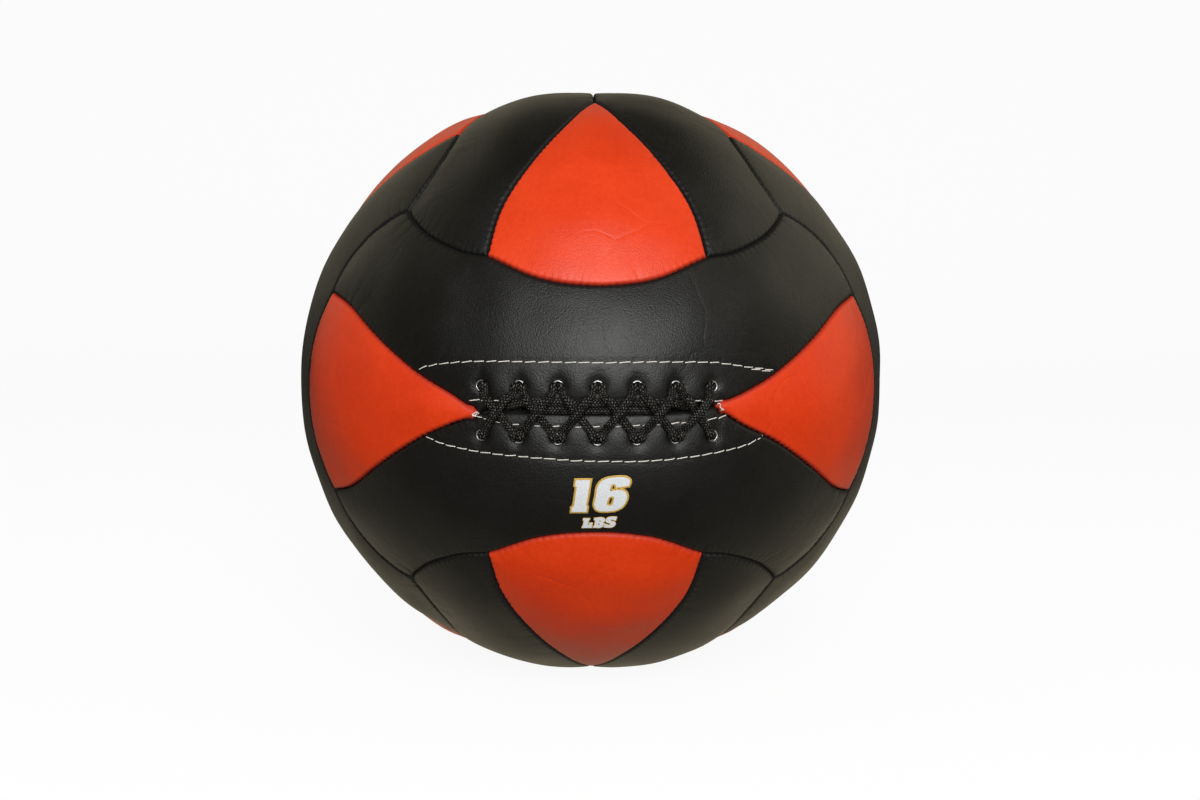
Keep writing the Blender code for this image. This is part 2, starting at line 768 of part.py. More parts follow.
def main():
    for thing in list(bpy.data.objects):
        bpy.data.objects.remove(thing)
    leather = material("facing_leather", (0.03, 0.028, 0.026), 0.6)
    foam = material("foam", (0.3, 0.3, 0.32), 0.9)
    canvas = material("canvas", (0.55, 0.5, 0.4), 0.9)
    textile = material("textile_stuffing", (0.4, 0.38, 0.36), 1)
    lips = make_panels()
    uppers, lowers = make_mouth(lips, leather)
    make_lace(uppers, lowers)
    make_tongue(leather)
    make_layer("foam_layer", foam_radius, foam_thickness, foam_mouth_length, foam_mouth_height, foam)
    make_layer(
        "lining_bag", lining_radius, lining_thickness, filling_slot_length, filling_slot_height, canvas
    )
    make_stuffing(textile)
    make_ballast(canvas)


main()
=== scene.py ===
import math
from functools import partial

import bmesh
import bpy
import numpy as np
from mathutils import Matrix, Vector
from mathutils.bvhtree import BVHTree


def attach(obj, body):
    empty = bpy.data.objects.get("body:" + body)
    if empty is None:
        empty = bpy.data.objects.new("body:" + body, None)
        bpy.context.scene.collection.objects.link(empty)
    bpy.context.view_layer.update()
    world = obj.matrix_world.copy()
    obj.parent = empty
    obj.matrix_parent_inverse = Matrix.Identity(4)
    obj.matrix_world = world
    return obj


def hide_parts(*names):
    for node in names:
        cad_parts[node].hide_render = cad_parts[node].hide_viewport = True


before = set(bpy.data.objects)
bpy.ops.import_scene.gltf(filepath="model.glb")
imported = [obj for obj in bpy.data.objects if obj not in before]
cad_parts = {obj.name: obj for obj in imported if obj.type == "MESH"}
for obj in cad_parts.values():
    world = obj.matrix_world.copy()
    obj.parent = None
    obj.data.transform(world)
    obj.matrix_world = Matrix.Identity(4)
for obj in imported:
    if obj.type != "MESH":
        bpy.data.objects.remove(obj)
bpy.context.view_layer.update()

root = "root"  # the only body: nothing on the ball turns or slides

# the ball's own sizes, in metres, the same as the CAD's
ball = {
    "across": 0.356,      # over the crowns of the panels
    "settled": 0.0034,    # how far the weight presses it down
    "setBack": 0.0048,    # because the CAD is centred with its lace
    "foot": 0.0009,       # over which the pressed foot rounds off
    "footShare": 0.98,
    "crownRise": 0.0028,
    "crownWidth": 0.045,
    "shoulder": 0.0012,   # from the seam up to where the rolled edge ends
    "drop": 0.0011,       # from the seam down to the bottom of the groove
    "rollWidth": 0.0021,
    "edge": 0.0006,       # points nearer to a seam than this
    "gap": 0.0001,        # are drawn back from it by this
    "skin": 0.0020,
}
ballRadius = ball["across"] / 2
seamRadius = ballRadius - ball["crownRise"] - ball["shoulder"]
middle = np.array([0, ball["setBack"], ballRadius - ball["settled"]])
toLeft = np.array([-1, 1, 1])
toBottom = np.array([1, 1, -1])
toBack = np.array([-1, -1, 1])

# degrees right and up on the front face
seamAngles = {
    "tip": (19.8, 0),
    "side": [(24.5, 2.3), (32.3, 5.8), (42.4, 11.3), (52.5, 16.4)],
    "base": [(0, 21.0), (10.5, 22.2), (21.0, 26.1)],
    "edge": [(27.3, 27.1), (35.4, 29.9), (42.0, 33.3)],
}


def aim(right, up):
    right, up = np.radians(right), np.radians(up)
    return np.array([np.cos(up) * np.sin(right), -np.cos(up) * np.cos(right), np.sin(up)])


def unit(rows):
    return rows / np.linalg.norm(rows, axis=-1, keepdims=True)


def thirdTurn(rows):  # front face to right face
    return np.stack([-rows[..., 1], -rows[..., 2], rows[..., 0]], axis=-1)


def lengthsAlong(line, scale=1):
    return np.append(0, np.cumsum(np.linalg.norm(np.diff(line, axis=0), axis=1) * scale))


def readAt(line, reached, goals):
    return np.stack([np.interp(goals, reached, line[:, i]) for i in range(line.shape[1])], axis=1)


def evenly(line, count):
    reached = lengthsAlong(line)
    return unit(readAt(line, reached, np.linspace(0, reached[-1], count + 1)))


def smoothLine(points, count):
    points = [np.array(p, float) for p in points]
    points = [2 * points[0] - points[1], *points, 2 * points[-1] - points[-2]]
    t = np.linspace(0, 1, 40, endpoint=False)[:, None]
    dense = []
    for a, b, c, d in zip(points, points[1:], points[2:], points[3:]):
        bend = (2 * a - 5 * b + 4 * c - d) * t**2 + (3 * b - a - 3 * c + d) * t**3
        dense.append(b + ((c - a) * t + bend) / 2)
    return evenly(unit(np.vstack(dense + [points[-2][None]])), count)


tip = aim(*seamAngles["tip"])
baseCorner = aim(*seamAngles["base"][-1])
cubeCorner = np.array([1, -1, 1]) / math.sqrt(3)
sideLine = smoothLine([tip] + [aim(*a) for a in seamAngles["side"]] + [thirdTurn(baseCorner)], 340)
edgeLine = smoothLine([baseCorner] + [aim(*a) for a in seamAngles["edge"]] + [cubeCorner], 120)
halfBase = [aim(*a) for a in seamAngles["base"]]
baseLine = smoothLine([p * toLeft for p in halfBase[:0:-1]] + halfBase, 320)


def lipLine(rise):  # the mouth's edge, rounded into the two red tips
    right = np.linspace(-1, 1, 301)
    line = aim(right * seamAngles["tip"][0], 0 * right).T
    line[:, 2] += rise * (1 - np.abs(right) ** 9) / seamRadius
    return unit(line)


# how each panel is stuffed, sewn and creased
sewing = {
    "pitch": 0.0038,      # hand stitches along a seam
    "first": 0.25,        # where the first one is, in pitches
    "waver": (0.12, 0.011),  # how unevenly they follow, in pitches, and over what length
    "pinch": 0.00042,     # how far a stitch draws the edge back
    "dropShare": 0.9,     # and how far down, as a share of that
    "pulls": (0.4, 1.3, 0.9),  # how hard the stitches pull on a triangle's three seams
    "pullLength": 0.009,
    "pinchReach": 0.0011,
    "scallop": 0.00022,   # the small puffs between stitches
    "scallopReach": 0.0032,
    "crease": 0.00036,    # creases that run off the seams
    "creaseReach": 0.015,
    "creaseSize": (0.0085, 0.03),  # along the seam and away from it
    "wanderSize": (0.03, 0.012),
    "patchLength": 0.035,
    "ripple": 0.00007,
    "rippleReach": 0.006,
    "rippleSize": (0.0036, 0.011),
    "fade": 0.0004,       # where all these die out, next to the seam
    "dent": 0.00038,      # broad unevenness of the stuffing
    "dentSizes": (0.03, 0.085),
    "dentStart": 0.012,
    "shadedSeam": 0.01,         # the length over which seamDepth grows from a seam; it carries the painted shade of the groove into the leather's colour
}


def softNoise(x, y, seed):
    table = np.random.RandomState(seed).rand(64, 64) * 2 - 1
    i, j = np.floor(x).astype(int), np.floor(y).astype(int)
    u, v = x - i, y - j
    u, v = u * u * (3 - 2 * u), v * v * (3 - 2 * v)
    near = table[i % 64, j % 64] * (1 - u) + table[(i + 1) % 64, j % 64] * u
    far = table[i % 64, (j + 1) % 64] * (1 - u) + table[(i + 1) % 64, (j + 1) % 64] * u
    return near * (1 - v) + far * v


def broadWaves(rows, seed, sizes):
    luck = np.random.RandomState(seed)
    total = 0
    for _ in range(12):
        way = unit(luck.normal(size=3)) * 2 * math.pi / luck.uniform(*sizes)
        total = total + np.sin(rows @ way * seamRadius + luck.uniform(0, 7))
    return total / 3.5


def measured(line, rows, inside):
    steps = np.linalg.norm(np.diff(line, axis=0), axis=1) * seamRadius
    reached = np.append(0, np.cumsum(steps))
    nearest = np.concatenate([np.argmax(part @ line.T, axis=1) for part in np.array_split(rows, 30)])
    best = None
    for first in (nearest - 1, nearest):
        first = np.clip(first, 0, len(line) - 2)
        a, run = line[first], line[first + 1] - line[first]
        share = np.clip(((rows - a) * run).sum(1) / (run**2).sum(1), 0, 1)
        foot = a + run * share[:, None]
        away = np.linalg.norm(rows - foot, axis=1) * seamRadius
        found = [away, reached[first] + share * steps[first], unit(np.cross(foot, run))]
        if best is None:
            best = found
        else:
            closer = away < best[0]
            best = [np.where(closer if new.ndim == 1 else closer[:, None], new, old)
                    for new, old in zip(found, best)]
    half = len(line) // 2
    side = np.sign(np.dot(np.cross(line[half], line[half + 1] - line[half]), inside - line[half]))
    return best[0], best[1], best[2] * side


# the two panel shapes, each gridded once in its own flat square
grid = {"first": 0.0005, "growth": 0.35, "most": 0.0016, "side": 0.143, "base": 0.13, "bandHeight": 0.075,
        "cuts": 9, "rimCells": 5}


def graded(shares, length, bothEnds=True):
    x = np.linspace(0, length, 3000)
    toEnd = np.minimum(x, length - x) if bothEnds else x
    density = 1 / np.minimum(grid["most"], grid["first"] + grid["growth"] * toEnd)
    reached = np.cumsum(density) - density[0]
    return np.interp(shares, reached / reached[-1], x / length)


def at(line, shares):
    return readAt(line, np.linspace(0, 1, len(line)), shares)


def spread(sides, across, up):  # a flat square laid between four seams
    lower, upper, left, right = sides
    a, b = across[:, None], up[:, None]
    points = (1 - b) * at(lower, across) + b * at(upper, across)
    points += (1 - a) * at(left, up) + a * at(right, up)
    points -= (1 - a) * ((1 - b) * lower[0] + b * upper[0]) + a * ((1 - b) * lower[-1] + b * upper[-1])
    return unit(points)


def thirds(*lines):  # three seams end to end, each a third of the square's side
    return np.vstack([evenly(line, 240)[(i > 0):] for i, line in enumerate(lines)])


def meshFrom(bm, name, smooth=True):
    mesh = bpy.data.meshes.new(name)
    bm.to_mesh(mesh)
    bm.free()
    if smooth:
        mesh.shade_smooth()
    return mesh


def slab(columns, rows):  # a flat square with a second skin over it
    bm = bmesh.new()
    bmesh.ops.create_grid(bm, x_segments=columns, y_segments=rows, size=1)
    skin = bmesh.ops.extrude_face_region(bm, geom=bm.faces[:])["geom"]
    bmesh.ops.translate(bm, vec=(0, 0, 1), verts=[v for v in skin if isinstance(v, bmesh.types.BMVert)])
    return bm


def squareSkin(columns, rows, closedLeft):
    bm = slab(columns, rows)
    cuts, cells = grid["cuts"], grid["rimCells"]
    wide, high = 2 / columns / (cuts + 1), 2 / rows / (cuts + 1)

    def isOuter(face):
        return face.calc_center_median().z > 0.9

    def onRim(face):
        spot = face.calc_center_median()
        nearSide = (spot.x > 1 - cells * wide) or (spot.x < cells * wide - 1 and not closedLeft)
        return spot.z > 0.9 and (nearSide or abs(spot.y) > 1 - cells * high)

    for chosen, times in ((isOuter, cuts), (onRim, 1)):
        edges = [edge for edge in bm.edges if any(chosen(face) for face in edge.link_faces)]
        bmesh.ops.subdivide_edges(bm, edges=edges, cuts=times, use_grid_fill=True)
    if closedLeft:
        for vert in bm.verts:
            if vert.co.x < -0.99999:
                vert.co.y = 0
        bmesh.ops.remove_doubles(bm, verts=bm.verts[:], dist=1e-6)
    return bm


def placesOf(mesh):
    flat = np.empty(len(mesh.vertices) * 3, np.float32)
    mesh.vertices.foreach_get("co", flat)
    return flat.reshape(-1, 3).astype(float)


def setPlaces(mesh, places):
    mesh.vertices.foreach_set("co", places.astype(np.float32).ravel())


def faceOut(mesh):
    bm = bmesh.new()
    bm.from_mesh(mesh)
    bmesh.ops.recalc_face_normals(bm, faces=bm.faces[:])
    bm.to_mesh(mesh)
    bm.free()


def flatPlaces(mesh):
    flat = placesOf(mesh)
    return (flat[:, 0] + 1) / 2, (flat[:, 1] + 1) / 2, flat[:, 2] > 0.5


def bandKind(name, rise):
    mouth = lipLine(rise)
    end = thirdTurn(edgeLine)
    left = sideLine[::-1] * toLeft
    sides = (thirds(left, mouth, sideLine), thirds(edgeLine[::-1] * toLeft, baseLine, edgeLine),
             end * toLeft, end)
    seams = [sideLine, sideLine * toLeft, edgeLine, edgeLine * toLeft, baseLine, end, end * toLeft]
    mesh = meshFrom(squareSkin(24, 5, False), name)
    across, up, outer = flatPlaces(mesh)
    third = np.clip(np.floor(across * 3), 0, 2)
    inner = across * 3 - third
    fromEnd = graded(inner, grid["side"], False)
    backwards = 1 - graded(1 - inner, grid["side"], False)
    inner = np.where(third == 0, fromEnd, np.where(third == 2, backwards, inner))
    places = spread(sides, (third + inner) / 3, graded(up, grid["bandHeight"]))
    return laid(name, mesh, places, outer, seams, mouth)


def triangleKind(name):
    lower = sideLine * toBottom
    base = evenly(thirdTurn(baseLine), 320)
    if base[0, 2] > base[-1, 2]:
        base = base[::-1]
    sides = (lower, sideLine, np.repeat(tip[None], 8, axis=0), base)
    mesh = meshFrom(squareSkin(9, 8, True), name)
    across, up, outer = flatPlaces(mesh)
    places = spread(sides, graded(across, grid["side"]), graded(up, grid["base"]))
    return laid(name, mesh, places, outer, [sideLine, lower, base])


def laid(name, mesh, rows, outer, seams, mouth=None):
    inside = unit(rows[outer].mean(axis=0))
    kind = {"name": name, "mesh": mesh, "rows": rows, "outer": outer}
    kind["seams"] = [measured(line, rows, inside) for line in seams]
    kind["mouth"] = None if mouth is None else measured(mouth, rows, inside)
    setPlaces(mesh, np.where(outer, seamRadius, seamRadius - ball["skin"])[:, None] * rows)
    faceOut(mesh)
    return kind


def stitchPhase(along):  # a whole number at each stitch
    share, length = sewing["waver"]
    return along / sewing["pitch"] + share * np.sin(along / length) + sewing["first"]


def creased(number, away, along, seed):
    wander = 0.35 * softNoise(away / sewing["wanderSize"][1], along / sewing["wanderSize"][0], seed + 5)
    wide, long = sewing["creaseSize"]
    crease = softNoise(along / wide + wander, away / long + number * 7.3, seed + 1)
    strength = 0.55 + 0.9 * softNoise(along / sewing["patchLength"], away * 0 + number * 3.1, seed + 2)
    fold = ((1 - np.abs(crease)) ** 3 - 0.25) * np.clip(strength, 0, 1.4)
    wide, long = sewing["rippleSize"]
    small = softNoise(along / wide, away / long + number * 5.1, seed + 3)
    ripple = sewing["ripple"] * small * np.exp(-away / sewing["rippleReach"])
    return ripple - sewing["crease"] * fold * np.exp(-away / sewing["creaseReach"])


def puffed(kind, seed, extra=None):
    rows, outer = kind["rows"], kind["outer"]
    closeness = 0
    height = np.zeros(len(rows))
    shift = np.zeros_like(rows)
    seams = list(kind["seams"])
    if kind["mouth"] is not None and extra is None:
        seams.append(kind["mouth"])
    for number, (away, along, inward) in enumerate(seams):
        closeness = closeness + np.maximum(away, 1e-6) ** -4
        drawn = (0.5 + 0.5 * np.cos(2 * math.pi * stitchPhase(along))) ** 2
        luck = 0.75 + 0.45 * softNoise(along / sewing["pullLength"], along * 0 + number, seed)
        pinch = drawn * luck * np.exp(-away / sewing["pinchReach"])
        if kind["name"] == "triangle":
            pinch = pinch * sewing["pulls"][number]
        shift += inward * (sewing["pinch"] * pinch)[:, None]
        height -= sewing["dropShare"] * sewing["pinch"] * pinch
        height += sewing["scallop"] * (0.4 - drawn) * luck * np.exp(-away / sewing["scallopReach"])
        height += creased(number, away, along, seed)
    if extra is not None:
        closeness = closeness + np.maximum(kind["mouth"][0], 1e-6) ** -4
    depth = closeness ** -0.25
    roll = np.clip(depth / ball["rollWidth"], 0, 1)
    crown = np.clip(depth / ball["crownWidth"], 0, 1)
    height = height * np.clip(depth / sewing["fade"], 0.35, 1)
    height += (ball["shoulder"] + ball["drop"]) * np.sqrt(1 - (1 - roll) ** 2) - ball["drop"]
    height += ball["crownRise"] * (1 - (1 - crown) ** 2)
    dents = broadWaves(rows, seed, sewing["dentSizes"]) * np.clip(depth / sewing["dentStart"], 0, 1)
    height += sewing["dent"] * dents
    if extra is not None:
        height += extra(rows)
    height = np.where(outer, height, -ball["skin"])
    shift = np.where(outer[:, None], shift, 0)
    edge = depth < ball["edge"]
    nearest = np.argmin([s[0] for s in seams], axis=0)
    inwards = np.choose(nearest[:, None], [s[2] for s in seams])
    shift[edge] += inwards[edge] * ball["gap"]
    return rows * (seamRadius + height)[:, None] + shift, np.where(outer, depth, 0)


def settle(points):  # presses what would go under the floor flat, with a soft edge
    z = points[:, 2] + middle[2]
    low = z < ball["foot"]
    pressed = ball["foot"] * np.exp(np.clip(z[low] / ball["foot"] - 1, -30, 0))
    points[low, 2] = pressed * ball["footShare"] - middle[2]
    return points


def turnedTo(rows, thirdTurns, halfTurn):
    if halfTurn:
        rows = rows * toBack
    for _ in range(thirdTurns):
        rows = thirdTurn(rows)
    return rows


droop = {"falls": {-1: -0.0018, 1: 0.0021}, "inset": 0.002, "blunt": (0.003, 0.006), "reach": (0.012, 0.008)}


def hump(x, z, sizes):
    return np.exp(-((x / sizes[0]) ** 2) - (z / sizes[1]) ** 2)


def drooped(points):  # the two red tips at the mouth are blunt, one sewn a little low and one a little high
    front = points[:, 1] < 0
    for side, fall in droop["falls"].items():
        inward = points[:, 0] - side * (tip[0] * seamRadius + droop["inset"])
        points[:, 2] *= 1 + hump(inward, points[:, 2], droop["blunt"]) * front
        points[:, 2] += fall * hump(inward, points[:, 2], droop["reach"]) * front
    return points


def sideName(point):
    names = (("left", "right"), ("front", "back"), ("bottom", "top"))
    axis = int(np.argmax(np.abs(point)))
    return names[axis][int(point[axis] > 0)]


def newObject(name, data):
    made = bpy.data.objects.new(name, data)
    bpy.context.scene.collection.objects.link(made)
    return made


def addPiece(name, mesh, material, nodes=()):
    mesh.materials.clear()
    mesh.materials.append(materials[material])
    piece = newObject(name, mesh)
    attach(piece, root)
    if nodes:
        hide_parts(*nodes)
    return piece


def addPanel(kind, face, towards, colour, turns, mirror, seed, extra=None):
    points, depth = puffed(kind, seed, extra)
    if mirror is not None:
        points = points * mirror
        towards = towards * mirror
    if face == "front":
        points = drooped(points)
    name = f"{face}_{sideName(turnedTo(towards, *turns))}_{colour}"
    mesh = kind["mesh"].copy()
    mesh.name = f"cover_{name}"
    setPlaces(mesh, settle(turnedTo(points, *turns)) + middle)
    if mirror is not None:
        mesh.flip_normals()
    # seamDepth carries the painted shade of the seam grooves into the leather's colour
    shadedSeam = mesh.attributes.new("seamDepth", "FLOAT", "POINT")
    shadedSeam.data.foreach_set("value", np.clip(depth / sewing["shadedSeam"], 0, 1).astype(np.float32))
    mesh.update()
    piece = addPiece(f"cover_{name}", mesh, f"{colour}Leather", [f"panel_{name}"])
    return piece


# materials
def newGroup(name, inputs, outputs):
    group = bpy.data.node_groups.new(name, "ShaderNodeTree")
    for label, kind, value in inputs:
        socket = group.interface.new_socket(name=label, in_out="INPUT", socket_type=kind)
        if value is not None:
            socket.default_value = value
    for label, kind in outputs:
        group.interface.new_socket(name=label, in_out="OUTPUT", socket_type=kind)
    start, end = group.nodes.new("NodeGroupInput"), group.nodes.new("NodeGroupOutput")
    return group, start.outputs, end.inputs


def node(tree, kind, links=(), **settings):
    made = tree.nodes.new(f"ShaderNode{kind}")
    for key, value in settings.items():
        setattr(made, key, value)
    for socket, source in dict(links).items():
        if isinstance(source, bpy.types.NodeSocket):
            tree.links.new(source, made.inputs[socket])
        else:
            made.inputs[socket].default_value = source
    return made


def maths(tree, operation, *values):
    return node(tree, "Math", dict(enumerate(values)), operation=operation).outputs[0]


def product(tree, first, *others):
    for other in others:
        first = maths(tree, "MULTIPLY", first, other)
    return first


def ranged(tree, value, low, high, toLow=0.0, toHigh=1.0):
    return node(tree, "MapRange", {"Value": value, "From Min": low, "From Max": high,
                                   "To Min": toLow, "To Max": toHigh}).outputs[0]


def noise(tree, spot, scale, detail, coarse=0.5):
    sockets = {"Vector": spot, "Scale": scale, "Detail": detail, "Roughness": coarse}
    return node(tree, "TexNoise", sockets).outputs["Fac"]


grain = {  # sizes as cells in a metre
    "pebble": 1250.0, "pebbleShare": 0.55, "cellShare": 0.45, "cellSoft": 0.4,
    "crease": 19.0, "creaseEdge": 0.045, "creaseShare": 1.6, "warp": 26.0, "warpBy": 0.035,
    "patch": 17.0, "patchTurn": (0.5, 0.62),
    "broad": 30.0, "broadShare": 0.65, "speck": 420.0, "speckShare": 0.35,
}


def makeGrain():  # pebbled grain, soft creases and mottling, for all the leathers
    group, given, out = newGroup(
        "leatherGrain",
        [("Vector", "NodeSocketVector", None), ("Crease Depth", "NodeSocketFloat", 0.5)],
        [("Height", "NodeSocketFloat"), ("Tone", "NodeSocketFloat")],
    )
    do = partial(maths, group)
    spot = given["Vector"]
    sockets = {"Vector": spot, "Scale": grain["pebble"], "Smoothness": grain["cellSoft"]}
    cell = node(group, "TexVoronoi", sockets, feature="SMOOTH_F1")
    warp = node(group, "TexNoise", {"Vector": spot, "Scale": grain["warp"], "Detail": 2.0})
    pushed = node(group, "VectorMath", {0: warp.outputs["Color"], "Scale": grain["warpBy"]},
                  operation="SCALE")
    moved = node(group, "VectorMath", {0: spot, 1: pushed.outputs[0]}, operation="ADD")
    lines = node(group, "TexVoronoi", {"Vector": moved.outputs[0], "Scale": grain["crease"]},
                 feature="DISTANCE_TO_EDGE")
    line = do("POWER", ranged(group, lines.outputs["Distance"], 0.0, grain["creaseEdge"], 1.0, 0.0), 2.0)
    where = ranged(group, noise(group, spot, grain["patch"], 1.0), *grain["patchTurn"])
    crease = product(group, line, where, given["Crease Depth"], grain["creaseShare"])
    pebbles = do("MULTIPLY", noise(group, spot, grain["pebble"], 3.0, 0.6), grain["pebbleShare"])
    pebbles = do("SUBTRACT", pebbles, do("MULTIPLY", cell.outputs["Distance"], grain["cellShare"]))
    group.links.new(do("SUBTRACT", pebbles, crease), out["Height"])
    specks = do("MULTIPLY", noise(group, spot, grain["speck"], 2.0), grain["speckShare"])
    broad = noise(group, spot, grain["broad"], 4.0, 0.6)
    group.links.new(do("MULTIPLY_ADD", broad, grain["broadShare"], specks), out["Tone"])
    return group


def newMaterial(name, roughness, metallic=0.0, specular=0.5):
    made = bpy.data.materials.new(name)
    made.use_nodes = True
    tree = made.node_tree
    shader = tree.nodes["Principled BSDF"]
    shader.inputs["Roughness"].default_value = roughness
    shader.inputs["Metallic"].default_value = metallic
    shader.inputs["Specular IOR Level"].default_value = specular
    return made, tree, shader


def objectSpot(tree):
    place = node(tree, "TexCoord")
    return node(tree, "Mapping", {"Vector": place.outputs["Object"], "Location": tuple(-middle)}).outputs[0]


def toned(tree, share, low, high):
    low, high = (end if isinstance(end, bpy.types.NodeSocket) else (*end, 1) for end in (low, high))
    return node(tree, "Mix", {"Factor": share, 6: low, 7: high}, data_type="RGBA").outputs[2]


def coloured(tree, shader, share, low, high):
    tree.links.new(toned(tree, share, low, high), shader.inputs["Base Color"])


def bumped(tree, shader, height, distance):
    bump = node(tree, "Bump", {"Height": height, "Distance": distance, "Strength": 1.0})
    tree.links.new(bump.outputs[0], shader.inputs["Normal"])


# the red and black "seam" colours are painted shade of the seam grooves; the facings carry no seamDepth, so
# they show their "seam" colour all over as their own colour
leathers = {
    "red": {"low": (0.74, 0.038, 0.001), "high": (0.84, 0.051, 0.002), "seam": (0.42, 0.020, 0.004),
            "rough": (0.39, 0.47), "specular": 0.46, "grain": 0.00018, "crease": 0.6},
    "black": {"low": (0.0026, 0.0024, 0.0017), "high": (0.0054, 0.0049, 0.0036),
              "seam": (0.001, 0.001, 0.001), "rough": (0.41, 0.49), "specular": 0.50, "grain": 0.00024,
              "crease": 0.22},
    "facing": {"low": (0.016, 0.014, 0.011), "high": (0.03, 0.026, 0.02), "seam": (0.02, 0.017, 0.013),
               "rough": (0.60, 0.75), "specular": 0.35, "grain": 0.00014, "crease": 0.3},
}
paintedSeamShade = {"depth": 0.22, "rough": (0.4, 0.8)}  # how far in from a seam the leather's colour is painted darker, as painted shade of the groove, and its roughness raised


def leather(name):
    look = leathers[name]
    made, tree, shader = newMaterial(f"{name}Leather", 0.5, specular=look["specular"])
    sockets = {"Vector": objectSpot(tree), "Crease Depth": look["crease"]}
    hide = node(tree, "Group", sockets, node_tree=grainGroup)
    tone = hide.outputs["Tone"]
    colour = toned(tree, ranged(tree, tone, 0.36, 0.64), look["low"], look["high"])
    depth = node(tree, "Attribute", attribute_name="seamDepth").outputs["Fac"]
    # painted shade: near a seam the colour goes over to the "seam" colour
    near = ranged(tree, depth, 0.0, paintedSeamShade["depth"], 1.0, 0.0)
    coloured(tree, shader, near, colour, look["seam"])
    rough = maths(tree, "MAXIMUM", ranged(tree, tone, 0.3, 0.7, *look["rough"]),
                  ranged(tree, near, 0.0, 1.0, *paintedSeamShade["rough"]))
    tree.links.new(rough, shader.inputs["Roughness"])
    bumped(tree, shader, hide.outputs["Height"], look["grain"])
    return made


# the other finishes: two colours, the noise between them in cells a metre, and how deep it is
plain = {"metallic": 0.0, "specular": 0.5, "detail": 3.0, "coarse": 0.5, "turn": (0.35, 0.65), "pores": None,
         "rub": None}
thread = {"scale": 2600.0, "bump": 0.00008}
ink = {"scale": 1300.0, "coarse": 0.7, "turn": (0.3, 0.6), "rough": 0.5, "specular": 0.35, "bump": 0.00004}
stuff = {"detail": 4.0, "coarse": 0.65, "turn": (0.3, 0.7), "pores": 2.2}
finishes = {
    "nickel": {"low": (0.88, 0.87, 0.83), "high": (0.97, 0.97, 0.96), "scale": 900.0, "turn": (0.0, 1.0),
               "rough": 0.3, "rub": (0.36, 0.50), "metallic": 1.0, "bump": 0.00002},
    "foam": {**stuff, "low": (0.014, 0.014, 0.013), "high": (0.030, 0.029, 0.027), "scale": 700.0,
             "rough": 0.9, "bump": 0.0003},
    "textileScrap": {**stuff, "low": (0.10, 0.11, 0.13), "high": (0.42, 0.40, 0.36), "scale": 90.0,
                     "rough": 0.95, "bump": 0.0015},
    "ironShot": {**stuff, "low": (0.10, 0.095, 0.09), "high": (0.32, 0.30, 0.28), "scale": 420.0,
                 "rough": 0.45, "metallic": 1.0, "bump": 0.0008},
    "creamThread": {**thread, "low": (0.62, 0.58, 0.49), "high": (0.94, 0.91, 0.84), "rough": 0.6,
                    "specular": 0.4},
    "blackThread": {**thread, "low": (0.002, 0.002, 0.002), "high": (0.005, 0.005, 0.004), "rough": 0.7,
                    "specular": 0.05},
    "whiteInk": {**ink, "low": (0.66, 0.68, 0.70), "high": (0.84, 0.86, 0.87)},
    "goldInk": {**ink, "low": (0.52, 0.30, 0.045), "high": (0.68, 0.43, 0.09)},
}


def finish(name):
    look = {**plain, **finishes[name]}
    made, tree, shader = newMaterial(name, look["rough"], look["metallic"], look["specular"])
    spot = objectSpot(tree)
    share = noise(tree, spot, look["scale"], look["detail"], look["coarse"])
    if look["pores"]:  # how many times finer than the noise they are
        pores = node(tree, "TexVoronoi", {"Vector": spot, "Scale": look["scale"] * look["pores"]})
        share = product(tree, share, ranged(tree, pores.outputs["Distance"], 0.0, 0.6, 0.7, 1.2))
    coloured(tree, shader, ranged(tree, share, *look["turn"]), look["low"], look["high"])
    if look["rub"]:
        tree.links.new(ranged(tree, share, 0.3, 0.7, *look["rub"]), shader.inputs["Roughness"])
    bumped(tree, shader, share, look["bump"])
    return made


canvas = {"weave": 4500.0, "low": (0.36, 0.32, 0.24), "high": (0.60, 0.55, 0.44), "bump": 0.0002}


def makeCanvas():  # plain weave, one thread over and one under
    made, tree, shader = newMaterial("canvas", 0.85, specular=0.2)
    split = node(tree, "SeparateXYZ", {0: objectSpot(tree)}).outputs
    waves = [maths(tree, "SINE", maths(tree, "MULTIPLY", axis, canvas["weave"])) for axis in split]
    weave = product(tree, maths(tree, "ADD", waves[0], waves[1]), maths(tree, "ADD", waves[2], 1.5))
    share = ranged(tree, weave, -3.0, 3.0)
    coloured(tree, shader, share, canvas["low"], canvas["high"])
    bumped(tree, shader, share, canvas["bump"])
    return made


